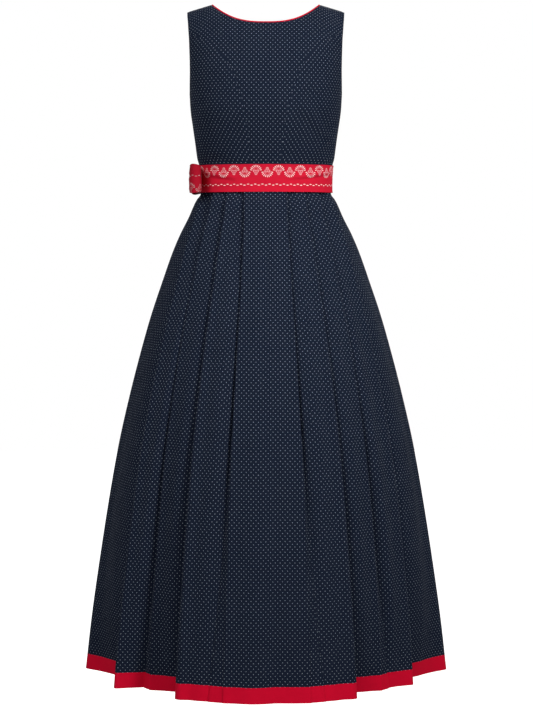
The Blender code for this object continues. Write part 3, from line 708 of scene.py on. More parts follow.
def folds_at(pleats, height):
    """The pleats' edges and inner folds at a height, from the centre front round to the back."""
    drop = WAIST_SEAM - height
    share = drop / (WAIST_SEAM - HEM)
    deep = share**FOLD_DEEPENS
    settled = 1.0 - math.exp(-drop / EDGE_SETTLES)
    below_belt = max(drop - BELT_HOLDS, 0.0)
    opened = (1.0 - math.exp(-below_belt / FOLDS_OPEN_OVER)) * (1.0 - share * share)
    folds = []
    for pleat in pleats:
        edge_turn = mix(pleat.waist_turn, pleat.hem_turn, settled)
        edge_depth = pleat.edge_depth * deep
        overlap = mix(WAIST_OVERLAP, pleat.overlap, deep) * (1.0 - FOLD_GIVES * opened)
        inner_turn = edge_turn - overlap / arc_per_degree(edge_turn, height)
        inner_depth = mix(WAIST_FOLD_DEPTH, pleat.fold_depth, deep) + FOLD_OPENING * opened
        width = mix(LAYER_PITCH, FOLD_ROUNDNESS * (pleat.fold_depth - pleat.edge_depth), deep)
        width += 0.10 * FOLD_OPENING * opened
        folds.append(Fold(edge_turn, edge_depth, inner_turn, inner_depth, width))
    return folds


def pleated_half(pleats, height):
    """Half the skirt in plan at a height: the cloth's middle line from the centre front to the back seam.

    Each pleat adds POINTS_PER_PLEAT points: the crest where it comes up out of the last fold, its face,
    three round its outer edge and three round its inner fold.
    """
    share = (WAIST_SEAM - height) / (WAIST_SEAM - HEM)
    reach = mix(*CREST_REACH, min(max((share - 0.08) / 0.60, 0.0), 1.0) ** 1.5)
    made_up = CREST_SHARE * (1.0 - math.exp(-((share / 0.17) ** 2))) * (1.0 - share**5)
    line = [skirt_place(0.0, 0.0, height)]
    start_turn, start_depth, last_edge = 0.0, 0.0, 0.0
    for fold in folds_at(pleats, height):
        nose = 0.6 * fold.width / arc_per_degree(fold.edge_turn, height)
        half = 0.5 * fold.width
        edge = skirt_place(fold.edge_turn - nose, fold.edge_depth, height)
        lapped = (fold.inner_turn - start_turn) / (fold.edge_turn - start_turn)
        over_fold = min(max(lapped, 0.5), 0.76)
        face_turn = mix(start_turn, fold.edge_turn, over_fold)
        risen = start_depth * (1.0 - made_up)
        start = skirt_place(start_turn, risen, height)
        on_flare = skirt_place(face_turn, mix(risen, fold.edge_depth, over_fold), height)
        face = mix(on_flare, mix(start, edge, over_fold), share**0.5)
        crest_turn = max(start_turn, last_edge) + reach / arc_per_degree(start_turn, height)
        line.append(mix(start, face, min((crest_turn - start_turn) / (face_turn - start_turn), 0.62)))
        line.append(face)
        line.append(edge)
        line.append(skirt_place(fold.edge_turn, fold.edge_depth + half, height))
        back_way = -nose if fold.inner_turn < fold.edge_turn else nose
        line.append(skirt_place(fold.edge_turn + back_way, fold.edge_depth + fold.width, height))
        line.append(skirt_place(fold.inner_turn - back_way, fold.inner_depth - fold.width, height))
        line.append(skirt_place(fold.inner_turn, fold.inner_depth - half, height))
        line.append(skirt_place(fold.inner_turn + nose, fold.inner_depth, height))
        start_turn, start_depth, last_edge = fold.inner_turn + nose, fold.inner_depth, fold.edge_turn
    line.append(skirt_place(180.0, start_depth, height))
    return line


def pleated_ring(height):
    """The whole section, from the back seam round the wearer's right, front and left to the back seam."""
    right = [point * (-1, 1) for point in pleated_half(PLEATS_RIGHT, height)]
    left = pleated_half(PLEATS_LEFT, height)
    return list(reversed(right))[:-1] + left


def half_steps():
    """Steps between the points of half a section, from the centre front to the back seam."""
    return list(PLEAT_STEPS) * len(PLEATS_LEFT) + [6]


def ring_steps():
    half = half_steps()
    return half[::-1] + half


def rounded(points, steps):
    """Points (..., count, 2) joined by a spline that doesn't overshoot, with steps from each to the next."""
    before = np.concatenate([2 * points[..., :1, :] - points[..., 1:2, :], points], axis=-2)
    around = np.concatenate([before, 2 * points[..., -1:, :] - points[..., -2:-1, :]], axis=-2)
    pieces = []
    for i, count in enumerate(steps):
        p0, p1, p2, p3 = (around[..., i + n, :] for n in range(4))
        knots = [np.zeros(p0.shape[:-1])]
        for a, b in ((p0, p1), (p1, p2), (p2, p3)):
            knots.append(knots[-1] + np.sqrt(np.linalg.norm(b - a, axis=-1) + 1e-9))
        t0, t1, t2, t3 = (knot[..., None] for knot in knots)
        for step in range(count):
            t = mix(t1, t2, step / count)
            a1 = ((t1 - t) * p0 + (t - t0) * p1) / (t1 - t0)
            a2 = ((t2 - t) * p1 + (t - t1) * p2) / (t2 - t1)
            a3 = ((t3 - t) * p2 + (t - t2) * p3) / (t3 - t2)
            b1 = ((t2 - t) * a1 + (t - t0) * a2) / (t2 - t0)
            b2 = ((t3 - t) * a2 + (t - t1) * a3) / (t3 - t1)
            pieces.append(((t2 - t) * b1 + (t - t1) * b2) / (t2 - t1))
    pieces.append(points[..., -1, :])
    return np.stack(pieces, axis=-2)


def straight(points, steps):
    """The same steps along straight lines."""
    pieces = []
    for i, count in enumerate(steps):
        for step in range(count):
            pieces.append(mix(points[..., i, :], points[..., i + 1, :], step / count))
    pieces.append(points[..., -1, :])
    return np.stack(pieces, axis=-2)


# Soft flutes in the skirt. Each runs down from the waist between two turns, wider and deeper towards its
# foot. Turns are in degrees from the centre front, and the wearer's right is negative.
Flute = namedtuple("Flute", "waist_turn hem_turn top foot width rise")
FLUTES = (
    Flute(2.0, 0.6, -0.372, -0.62, 0.012, -0.0035),
    Flute(-14.0, -7.0, -0.370, -0.56, 0.010, -0.0022),
    Flute(9.0, 5.0, -0.380, -0.95, 0.022, 0.0040),
    Flute(-8.0, -4.6, -0.400, -1.316, 0.026, 0.0050),
    Flute(5.0, 3.2, -0.700, -1.316, 0.024, -0.0045),
    Flute(-26.0, -20.0, -0.372, -1.10, 0.016, 0.0045),
    Flute(-31.0, -24.5, -0.420, -1.316, 0.018, -0.0045),
    Flute(27.0, 20.5, -0.372, -1.20, 0.017, 0.0045),
    Flute(33.0, 25.0, -0.450, -1.316, 0.018, -0.0042),
    Flute(-47.0, -36.0, -0.380, -1.316, 0.020, 0.0050),
    Flute(46.0, 36.5, -0.372, -1.316, 0.020, 0.0046),
    Flute(-68.0, -51.0, -0.372, -1.316, 0.022, -0.0050),
    Flute(70.0, 53.0, -0.380, -1.316, 0.022, -0.0050),
    Flute(-92.0, -76.0, -0.372, -1.316, 0.030, 0.0060),
    Flute(90.0, 74.0, -0.372, -1.316, 0.030, 0.0060),
    Flute(-112.0, -103.0, -0.380, -1.316, 0.024, -0.0050),
    Flute(113.0, 102.0, -0.380, -1.200, 0.024, 0.0050),
    Flute(130.0, 122.0, -0.372, -1.316, 0.022, -0.0045),
    Flute(-131.0, -124.0, -0.372, -1.250, 0.024, 0.0052),
    Flute(148.0, 144.0, -0.390, -1.316, 0.026, 0.0055),
    Flute(-150.0, -145.0, -0.372, -1.316, 0.022, -0.0046),
    Flute(168.0, 166.0, -0.380, -1.100, 0.020, 0.0040),
    Flute(-169.0, -167.0, -0.372, -1.316, 0.024, -0.0048),
)


def flute_relief(plan, height):
    """How far the skirt's points at one height are moved out, all the layers at a turn alike."""
    half_width, half_depth = flare(height)
    turns = np.degrees(np.arctan2(plan[:, 0] / half_width, -plan[:, 1] / half_depth))
    angle = np.radians(turns)
    per_degree = np.radians(np.hypot(half_width * np.cos(angle), half_depth * np.sin(angle)))
    settled = 1.0 - math.exp(-(WAIST_SEAM - height) / EDGE_SETTLES)
    relief = np.zeros(len(plan))
    for flute in FLUTES:
        down = (flute.top - height) / (flute.top - flute.foot)
        if down <= 0.0:
            continue
        fades = flute.foot > HEM + 0.001
        strength = math.sin(math.pi * min(down, 1.0)) if fades else math.sin(0.5 * math.pi * min(down, 1.0))
        middle = mix(flute.waist_turn, flute.hem_turn, settled)
        width = flute.width * mix(0.45, 1.0, min(down, 1.0))
        away = (turns - middle) * per_degree
        relief += flute.rise * strength * np.exp(-((away / width) ** 2))
    normal = unit(np.stack([half_depth * np.sin(angle), -half_width * np.cos(angle)], axis=-1))
    return normal * relief[:, None]


def skirt_grid(heights):
    """Points of the whole pleated section through a list of heights, from the hem up."""
    rings = np.array([pleated_ring(height) for height in heights])
    steps = ring_steps()
    below_belt = WAIST_SEAM - BELT_HOLDS - np.array(heights)
    drop = np.clip(below_belt / FOLDS_ROUND_OVER, 0.0, 1.0)[:, None, None]
    plans = mix(straight(rings, steps), rounded(rings, steps), drop)
    moved = [plan + flute_relief(plan, height) for plan, height in zip(plans, heights)]
    levels = np.broadcast_to(np.array(heights)[:, None, None], (*plans.shape[:2], 1))
    return np.concatenate([np.array(moved), levels], axis=-1)


def face_origins():
    """For each column of quads, the column that its dots are laid out from.

    That is the middle of its pleat's face, or the centre front for the first pleat of each side.
    """
    ends = np.concatenate([[0], np.cumsum(half_steps())])
    middles = [0, *ends[2 + POINTS_PER_PLEAT : -1 : POINTS_PER_PLEAT]]
    starts = ends[6 : -1 : POINTS_PER_PLEAT]
    which = [min(int(np.sum(starts <= column)), len(middles) - 1) for column in range(ends[-1])]
    origins = np.array([middles[pleat] for pleat in which])
    last = ends[-1]
    return np.concatenate([last - origins[::-1], last + origins])


def make_skirt(navy, red):
    steps = np.concatenate([[0], np.cumsum(ring_steps())])
    middle = len(steps) // 2
    seam = SIDE_SEAM_PLEAT * POINTS_PER_PLEAT + 2
    stretches = (
        ("front", steps[middle - seam], steps[middle + seam]),
        ("back_right", 0, steps[middle - seam]),
        ("back_left", steps[middle + seam], steps[-1]),
    )
    low = np.linspace(BAND_TOP, HIP, SKIRT_ROWS - HIP_ROWS)
    high = np.linspace(HIP, WAIST_SEAM, HIP_ROWS + 1)[1:]
    rows = skirt_grid([*low, *high])
    band_rows = skirt_grid(list(np.linspace(HEM, BAND_TOP, BAND_ROWS)))
    origins = face_origins()
    made = {}
    for place, first, last in stretches:
        part = drawn_in(rows[:, first : last + 1], (*SIDE_SEAMS, "last_row"))
        band = drawn_in(band_rows[:, first : last + 1], SIDE_SEAMS)
        own = np.clip(origins[first:last] - first, 0, last - first)
        made["skirt_" + place] = wall("skirt_cloth_" + place, part, navy, origins=own)
        made["hem_band_" + place] = wall("hem_cloth_" + place, band, red, origins=own)
    below_seam = skirt_grid([BAND_TOP - 0.0045, BAND_TOP - 0.0025, BAND_TOP - 0.0005])
    return made, (below_seam[1, 3:-3], grid_normals(below_seam)[1, 3:-3])


# Belt and bow

BELT_CREASES = (
    Crease((-0.131, -0.3289), (-0.065, -0.3402), 0.0030, -0.0014),
    Crease((-0.120, -0.3235), (-0.060, -0.3345), 0.0050, 0.0017),
    Crease((0.048, -0.3402), (0.131, -0.3289), 0.0030, -0.0014),
    Crease((0.060, -0.3345), (0.126, -0.3235), 0.0050, 0.0018),
    Crease((-0.030, -0.3475), (0.030, -0.3495), 0.0060, -0.0006),
)


def belt_grid(rows=26):
    """The belt's middle line, moved out from the bodice above the waist seam and the skirt below it."""
    lift = WALL + BELT_EASE
    turns = np.linspace(0.0, 180.0, BELT_STEPS // 2 + 1)
    front, back = turns[turns <= 90.0], turns[turns > 90.0]
    levels = []

    def body_line(height):
        rise = np.full(1, float(rise_at(height)))
        return np.concatenate([torso_points(front, rise, False), torso_points(back, rise, True)])[:, :2]

    def skirt_line(height):
        return np.array([skirt_place(turn, 0.0, height) for turn in turns])

    above_skirt = body_line(WAIST_SEAM) - skirt_line(WAIST_SEAM)
    for height in np.linspace(BELT_BOTTOM, BELT_TOP, rows):
        if height < WAIST_SEAM:
            share = (height - BELT_BOTTOM) / (WAIST_SEAM - BELT_BOTTOM)
            line = skirt_line(height) + above_skirt * share
        else:
            line = body_line(height)
        line[0, 0], line[-1, 0] = 0.0, 0.0
        along = np.gradient(line, axis=0)
        along[0], along[-1] = (1.0, 0.0), (-1.0, 0.0)
        line = line + unit(np.stack([along[:, 1], -along[:, 0]], axis=-1)) * lift
        whole = np.concatenate([line, (line * (-1, 1))[1:-1][::-1]])
        levels.append(np.column_stack([np.roll(whole, len(whole) // 2, axis=0), np.full(len(whole), height)]))
    return np.array(levels)


def make_belt(material):
    grid = belt_grid()
    across = lengths_along(grid, 1)
    across = across - across[:, grid.shape[1] // 2 :][:, :1]
    up_cloth = lengths_along(grid, 0)
    relief = crease_relief(grid[..., 0], grid[..., 2], BELT_CREASES) * (grid[..., 1] < 0)
    from_edge = np.minimum(grid[..., 2] - BELT_BOTTOM, BELT_TOP - grid[..., 2])
    relief = relief * np.clip(from_edge / 0.008, 0.0, 1.0) + 0.0004 * np.exp(-((from_edge / 0.003) ** 2))
    grid = grid + grid_normals(grid, closed=True) * relief[..., None]
    out = grid_normals(grid, closed=True)
    heights = BELT_BOTTOM + BELT_STITCH_INSET, BELT_TOP - BELT_STITCH_INSET
    rows = [int(np.argmin(np.abs(grid[:, 0, 2] - height))) for height in heights]
    lines = [(grid[row], out[row]) for row in rows]
    return wall("belt_band", grid, material, closed=True, flat=(across, up_cloth)), lines


def loop_route(length):
    """The loop's line in plan from its knot and back, as (out from the dress, forward)."""
    radius = 0.5 * LOOP_THICKNESS
    throat = 0.5 * LOOP_THROAT_WIDTH
    belly = length - radius
    away = [(-throat, 0.0), (-0.82 * radius, 0.28 * belly), (-1.02 * radius, 0.62 * belly)]
    angles = [math.radians(-90.0 + 180.0 * i / 8) for i in range(9)]
    round_end = [(radius * math.sin(a), belly + radius * math.cos(a)) for a in angles]
    back = [(-out, forward) for out, forward in reversed(away)]
    return away + round_end + back


def make_bow_loop(name, way, share, material, rows=33):
    """A band folded into a loop, gathered at the knot. way is -1 for the loop that points forward."""
    route = np.array(loop_route(LOOP_LENGTH * share))
    line = rounded(route, [8, 8, 8] + [3] * 8 + [8, 8, 8])
    start = KNOT_SIZE[1] / 2 + SEAM_GAP
    out, forward = line[:, 0], line[:, 1]
    open_share = np.clip(forward / (0.5 * LOOP_LENGTH), 0.0, 1.0)
    half_height = 0.5 * mix(LOOP_THROAT_HEIGHT, LOOP_HEIGHT, np.sin(0.5 * np.pi * open_share))
    levels = np.linspace(-1.0, 1.0, rows)[:, None]
    pinch = (1.05 if way < 0 else 0.97) - 0.05 * levels**2
    side = out / (0.5 * LOOP_THICKNESS)
    rounding = 0.0020 * open_share * np.abs(side) ** 5
    slant = 0.0042 * open_share * (1.0 - side) / 2
    fall = open_share * (0.0016 + 0.0042 * ((1.0 - side) / 2) ** 2)
    heights = mix(rounding + slant - half_height, half_height - rounding - fall, (levels + 1.0) / 2)
    grid = np.stack(
        [
            BOW_CENTRE - out * pinch + LOOP_LEAN * forward,
            np.broadcast_to(way * (start + forward), (rows, len(out))),
            BOW_HEIGHT + heights,
        ],
        axis=-1,
    )
    along = lengths_along(grid, 1)
    across = (0.5 * LOOP_HEIGHT * (1.0 - levels) - LOOP_HEM) * np.ones_like(along)
    if way < 0:
        grid, along, across = grid[:, ::-1], along[:, ::-1], across[:, ::-1]
        forward = forward[::-1]
    gathers = 0.0016 * np.cos(levels * 10.5 + 0.8) + 0.0009 * np.cos(levels * 17.0 - 0.4)
    relief = gathers * np.exp(-forward / 0.020) * np.clip(forward / 0.004, 0.0, 1.0)
    relief = relief + 0.0006 * np.sin(levels * 2.2 + forward * 60.0) * np.clip(forward / 0.03, 0.0, 1.0)
    grid = grid + grid_normals(grid) * relief[..., None]
    return wall(name, grid, material, flat=(along, across))


def make_bow_knot(material, rows=27, columns=56):
    """The short band wrapped over the middle of the bow, in soft folds."""
    angle = -np.linspace(0.0, 2 * np.pi, columns, endpoint=False)[None, :]
    along = np.linspace(-1.0, 1.0, rows)[:, None]
    bulge = 0.80 + 0.20 * np.sqrt(1.0 - 0.92 * along**2)
    folds = 1.0 + 0.045 * np.cos(along * 9.0 + 0.7 * np.sin(angle) + 0.4)
    reach = (KNOT_SIZE[0] / 2 - 0.0009) * bulge * folds, (KNOT_SIZE[2] / 2 - 0.0009) * bulge * folds
    square = 0.86
    grid = np.stack(
        [
            BOW_CENTRE + reach[0] * np.sign(np.cos(angle)) * np.abs(np.cos(angle)) ** square,
            np.broadcast_to(along * KNOT_SIZE[1] / 2 * 0.98, (rows, columns)),
            BOW_HEIGHT + reach[1] * np.sign(np.sin(angle)) * np.abs(np.sin(angle)) ** square,
        ],
        axis=-1,
    )
    return wall("knot_wrap", grid, material, closed=True)


# Piping and stitches


def ring_ways(side, up, sides):
    """The ways out to the points of a ring round each place of a cord, from its two ways across."""
    angles = np.linspace(0.0, 2 * np.pi, sides, endpoint=False)[None, :, None]
    return np.cos(angles) * side[:, None] + np.sin(angles) * up[:, None]


def tube(name, line, radius, material, sides):
    """A round cord along a line of points, with a UV map along and round it, in metres."""
    along = unit(np.gradient(line, axis=0))
    side = unit(np.cross(along, np.array([0.13, 0.21, 0.97])))
    points = line[:, None] + ring_ways(side, np.cross(side, along), sides) * radius
    count = len(line)
    faces = grid_quads(count, sides, True).tolist()
    faces += [list(range(sides))[::-1], list(range((count - 1) * sides, count * sides))]
    mesh = new_mesh(name, points, faces)
    run = run_along(line)
    layer = mesh.uv_layers.new(name="flat cloth")
    for face in mesh.polygons:
        on_seam = {v % sides for v in face.vertices} == {0, sides - 1}
        for corner, v in zip(face.loop_indices, face.vertices):
            step = sides if on_seam and v % sides == 0 else v % sides
            layer.data[corner].uv = (run[v // sides], step * 2 * math.pi * radius / sides)
    turn_faces_out(mesh)
    return add_smooth(name, mesh, material)


STITCH = namedtuple("Stitch", "pitch length radius")(0.0031, 0.0024, 0.00021)
STITCH_SIDES = 5
# Along a stitch: where its rings lie, how thick the thread is at each and how far it lies out of the cloth,
# as shares of its length and radius
STITCH_RINGS = np.array([0.0, 0.14, 0.5, 0.86, 1.0])
STITCH_SWELL = np.array([0.45, 0.95, 1.0, 0.95, 0.45])
STITCH_LIFT = np.array([-1.1, 0.1, 0.45, 0.1, -1.1])


def stitch_rows(name, lines, material):
    """Rows of machine stitches, each a small drawn-in bead of thread that dips into the cloth at its ends."""
    points = []
    for line, out in lines:
        run = run_along(line)
        starts = np.arange(0.5 * STITCH.pitch, run[-1] - STITCH.pitch, STITCH.pitch)

        def at(values, where):
            return np.stack([np.interp(where, run, values[:, axis]) for axis in range(3)], axis=-1)

        begin, end = at(line, starts), at(line, starts + STITCH.length)
        up = unit(at(out, starts + 0.5 * STITCH.length))
        ways = ring_ways(unit(np.cross(end - begin, up)), up, STITCH_SIDES)
        middle = begin[:, None] + (end - begin)[:, None] * STITCH_RINGS[None, :, None]
        middle = middle + up[:, None] * (WALL / 2 + STITCH_LIFT * STITCH.radius)[None, :, None]
        thick = (STITCH.radius * STITCH_SWELL)[None, :, None, None]
        points.append(middle[:, :, None] + ways[:, None] * thick)
    beads = np.concatenate(points)
    around = grid_quads(len(STITCH_RINGS), STITCH_SIDES, True)
    size = len(STITCH_RINGS) * STITCH_SIDES
    caps = list(range(STITCH_SIDES))[::-1], list(range(size - STITCH_SIDES, size))
    faces = []
    for start in range(0, len(beads) * size, size):
        faces += (around + start).tolist() + [[start + n for n in cap] for cap in caps]
    mesh = new_mesh(name, beads, faces)
    turn_faces_out(mesh)
    mesh.shade_smooth()
    obj = add_object(name, mesh, material)
    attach(obj, "dress")
    return obj


def piping_half():
    """The piping's line on the left, from the centre back over the shoulder seam to the centre front."""
    lines = []
    for outer_turn, back in ((back_outer_turn, True), (front_outer_turn, False)):
        grid, _ = half_panel(outer_turn, back)
        normals = grid_normals(grid)
        if back:
            normals = -normals
        edge, out = grid[-1, : NECK_COLUMNS + 1], normals[-1, : NECK_COLUMNS + 1]
        if not back:
            edge, out = edge[::-1][1:], out[::-1][1:]
        lines.append((edge, out))
    line = np.concatenate([edge for edge, _ in lines])
    out = np.concatenate([out for _, out in lines])
    along = unit(np.gradient(line, axis=0))
    along[0], along[-1] = (1.0, 0.0, 0.0), (-1.0, 0.0, 0.0)
    away = unit(np.cross(along, out))
    return line + away * (PIPING_RADIUS + PIPING_EASE)


def make_piping(material):
    """A cord along the whole neck edge, from one side of the zip to the other."""
    left = piping_half()
    left[0, 0] = SEAM_GAP / 2
    left[-1, 0] = 0.0
    right = left[:-1][::-1] * np.array([-1.0, 1.0, 1.0])
    return tube("neckline_cord", np.concatenate([left, right]), PIPING_RADIUS, material, 12)


# Finishes


class Value:
    """A number that a finish works out at each place, with the usual signs for sums."""

    def __init__(self, finish, socket):
        self.finish = finish
        self.socket = socket

    def __add__(self, other):
        return self.finish.maths("ADD", self, other)

    def __sub__(self, other):
        return self.finish.maths("SUBTRACT", self, other)

    def __rsub__(self, other):
        return self.finish.maths("SUBTRACT", other, self)

    def __mul__(self, other):
        return self.finish.maths("MULTIPLY", self, other)

    def __truediv__(self, other):
        return self.finish.maths("DIVIDE", self, other)

    def __abs__(self):
        return self.finish.maths("ABSOLUTE", self)

    def cosine(self):
        return self.finish.maths("COSINE", self)

    def part(self):
        """What is left over past the last whole turn."""
        return self.finish.maths("FRACT", self)

    def every_other(self):
        """1 in every other whole turn and 0 in the rest."""
        return abs(self.finish.maths("MODULO", self.finish.maths("FLOOR", self), 2.0))

    def nearest(self, pitch, shift):
        """The distance to the nearest of the lines that lie a pitch apart."""
        return ((self / pitch + (100.5 + shift)).part() - 0.5) * pitch


class Finish:
    """One material's nodes."""

    def __init__(self, name, roughness, metallic=0.0, sheen=0.0):
        self.material = bpy.data.materials.new(name)
        self.material.use_nodes = True
        self.tree = self.material.node_tree
        self.shader = self.tree.nodes["Principled BSDF"]
        settings = {
            "Roughness": roughness,
            "Metallic": metallic,
            "Specular IOR Level": 0.5 if metallic else 0.05,
            "Sheen Weight": sheen,
            "Sheen Roughness": 0.40,
        }
        for name, value in settings.items():
            self.shader.inputs[name].default_value = value

    def node(self, kind, inputs=(), **settings):
        node = self.tree.nodes.new(kind)
        for name, value in settings.items():
            setattr(node, name, value)
        for place, value in dict(inputs).items():
            self.feed(node.inputs[place], value)
        return node

    def feed(self, socket, value):
        if isinstance(value, Value):
            value = value.socket
        if isinstance(value, bpy.types.NodeSocket):
            self.tree.links.new(value, socket)
        else:
            socket.default_value = value

    def maths(self, operation, *values):
        return Value(self, self.node("ShaderNodeMath", enumerate(values), operation=operation).outputs[0])

    def step_down(self, value, start, end):
        """1 below start, 0 above end, and smooth between."""
        inputs = {"Value": value, "From Min": start, "From Max": end, "To Min": 1.0, "To Max": 0.0}
        node = self.node("ShaderNodeMapRange", inputs, interpolation_type="SMOOTHSTEP")
        return Value(self, node.outputs["Result"])

    def colours(self, share, first, second):
        first, second = ((*c, 1.0) if isinstance(c, tuple) else c for c in (first, second))
        return self.node("ShaderNodeMix", {0: share, 6: first, 7: second}, data_type="RGBA").outputs[2]

    def cloth_place(self):
        """The place on the flat cloth, in metres, and its two lengths."""
        uv = self.node("ShaderNodeUVMap", (), uv_map="flat cloth").outputs[0]
        split = self.node("ShaderNodeSeparateXYZ", {0: uv})
        return uv, Value(self, split.outputs[0]), Value(self, split.outputs[1])

    def object_place(self):
        return self.node("ShaderNodeTexCoord").outputs["Object"]

    def noise(self, vector, scale, detail=2.0, roughness=0.5):
        inputs = {"Vector": vector, "Scale": scale, "Detail": detail, "Roughness": roughness}
        return Value(self, self.node("ShaderNodeTexNoise", inputs).outputs["Fac"])

    def length(self, across, down):
        return self.maths("SQRT", down * down + across * across)

    def dyed(self, vector, patch_scale, thread_scale, thread_share, low, high, lit):
        """Unevenly dyed cloth with some lighter threads, and the threads' own pattern."""
        patches = self.noise(vector, patch_scale, 3.0, 0.6)
        threads = self.noise(vector, thread_scale, 1.0)
        return self.colours(threads * thread_share, self.colours(patches, low, high), lit), threads

    def raise_weave(self, vector, across, down, slub_scale, slub_share):
        """A plain weave, threads over and under by turns, of unevenly thick threads."""
        warp, weft = (self.maths("SINE", way * (math.pi / WEAVE_PITCH)) for way in (across, down))
        self.bump(self.noise(vector, slub_scale) * slub_share + warp * weft, 0.35, 0.00012)

    def bump(self, height, strength, distance):
        node = self.node("ShaderNodeBump", {"Strength": strength, "Distance": distance, "Height": height})
        self.feed(self.shader.inputs["Normal"], node.outputs[0])

    def paint(self, colour):
        self.feed(self.shader.inputs["Base Color"], colour)


def scaled(colour, share):
    return tuple(share * c for c in colour)


WEAVE_PITCH = 0.0005
NAVY = ((0.0052, 0.0086, 0.0195), (0.0082, 0.0124, 0.0265), (0.016, 0.022, 0.040))
RED = ((0.54, 0.0014, 0.0210), (0.66, 0.0024, 0.0280), (0.76, 0.008, 0.040))
PRINT_GROUND = ((0.50, 0.0060, 0.0240), (0.62, 0.0095, 0.0340), (0.74, 0.022, 0.058))
PRINT_PINK = (0.78, 0.42, 0.45)
PRINT_WHITE = (0.90, 0.70, 0.70)


def dotted_navy_cotton():
    finish = Finish("dotted navy cotton", 0.88, sheen=0.02)
    finish.shader.inputs["Sheen Tint"].default_value = (0.62, 0.72, 0.90, 1.0)
    vector, across, down = finish.cloth_place()
    rows = []
    for shift in (0.0, 0.5):
        rows.append(finish.length(across.nearest(DOT_ACROSS, shift), down.nearest(DOT_DOWN, shift)))
    dot = finish.step_down(finish.maths("MINIMUM", *rows), DOT_RADIUS * 0.86, DOT_RADIUS * 1.10)
    navy, threads = finish.dyed(vector, 26.0, 900.0, 0.35, *NAVY)
    white = finish.colours(threads, (0.36, 0.42, 0.52), (0.46, 0.51, 0.60))
    finish.paint(finish.colours(dot, navy, white))
    finish.raise_weave(vector, across, down, 240.0, 1.6)
    return finish.material


def red_cotton():
    finish = Finish("red cotton", 0.84, sheen=0.01)
    vector, across, down = finish.cloth_place()
    red, _ = finish.dyed(vector, 34.0, 1100.0, 0.22, *RED)
    finish.paint(red)
    finish.raise_weave(vector, across, down, 260.0, 1.4)
    return finish.material


def plain_thread(name, colour):
    finish = Finish(name, 0.66, sheen=0.01)
    strands = finish.noise(finish.object_place(), 2600.0, 2.0)
    finish.paint(finish.colours(strands, scaled(colour, 0.75), scaled(colour, 1.25)))
    finish.bump(strands, 0.25, 0.00006)
    return finish.material


def printed_red_cotton(name="printed red cotton", painted_shade=1.0, strength=1.0):
    """Red cotton with a border print.

    Half-round fans point up and down by turns, each with a three-lobed leaf, over one wavy line of dashes.
    """
    finish = Finish(name, 0.82, sheen=0.01)
    vector, across, up = finish.cloth_place()
    turns = (across + (0.019 + FAN_PITCH / 2)) / FAN_PITCH
    way = 1.0 - turns.every_other() * 2.0
    x = (turns.part() - 0.5) * FAN_PITCH
    y = (up - (way * 0.0006 + 0.0400)) * way
    # the fan: an outer ring of petals and an inner one of beads
    radius = finish.length(x, y)
    ripple = (finish.maths("ARCTAN2", y, x) * 18.0).cosine()
    upper = finish.step_down(y * -1.0, -0.0012, 0.0000)
    petals, beads = finish.step_down(ripple, -0.50, 0.00), finish.step_down(ripple, -0.1, 0.4)
    fan = finish.step_down(abs(radius - 0.0094), 0.0019, 0.0023) * petals * upper
    inner = finish.step_down(abs(radius - 0.0058), 0.0004, 0.0008) * beads * upper
    # the three-lobed leaf
    leaf_y = y + 0.0022
    leaf_radius = finish.length(x, leaf_y)
    lobes = abs((finish.maths("ARCTAN2", x, leaf_y * -1.0) * 1.5).cosine())
    past_edge = leaf_radius - (lobes * 0.0034 + 0.0018)
    outline = finish.step_down(abs(past_edge), 0.00065, 0.00110)
    filled = finish.step_down(past_edge, -0.0004, 0.0) * 0.26
    vein = finish.step_down(abs(x), 0.00025, 0.0005) * finish.step_down(leaf_radius, 0.0036, 0.0042)
    # the wavy line of dashes
    dashes = (across + 0.003) / DASH_PITCH
    dash_x = (dashes.part() - 0.5) * (DASH_PITCH * 0.33)
    dash_y = up - (dashes.every_other() * 0.0020 + 0.0128)
    dash = finish.step_down(finish.length(dash_x, dash_y), 0.00065, 0.00095)
    marks = filled
    for mark in (inner, outline, vein):
        marks = finish.maths("MAXIMUM", marks, mark)
    bright = finish.maths("MAXIMUM", fan, dash)
    # painted_shade below 1 darkens the ground, the pink and the white alike, and strength below 1 dims the
    # marks: together they paint shade on a darker copy of this cloth
    red, _ = finish.dyed(vector, 34.0, 1100.0, 0.22, *(scaled(colour, painted_shade) for colour in PRINT_GROUND))
    painted = finish.colours(marks * (0.70 * strength), red, scaled(PRINT_PINK, painted_shade))
    finish.paint(finish.colours(bright * (0.95 * strength), painted, scaled(PRINT_WHITE, painted_shade)))
    finish.raise_weave(vector, across, up, 260.0, 1.4)
    return finish.material


def dark_zip_metal():
    finish = Finish("dark zip metal", 0.36, metallic=0.9)
    worn = finish.noise(finish.object_place(), 900.0, 3.0)
    finish.paint(finish.colours(worn, (0.030, 0.034, 0.048), (0.075, 0.080, 0.100)))
    rough = finish.node("ShaderNodeMapRange", {"Value": worn, "To Min": 0.28, "To Max": 0.50})
    finish.feed(finish.shader.inputs["Roughness"], rough.outputs["Result"])
    finish.bump(worn, 0.15, 0.0001)
    return finish.material


def studio_paper():
    finish = Finish("pale studio paper", 0.92)
    patches = finish.noise(finish.object_place(), 3.0, 3.0)
    paper = finish.colours(patches, (0.90, 0.90, 0.895), (0.93, 0.93, 0.925))
    finish.paint(paper)
    finish.feed(finish.shader.inputs["Emission Color"], paper)
    finish.feed(finish.shader.inputs["Emission Strength"], 1.0)
    return finish.material


# Zip


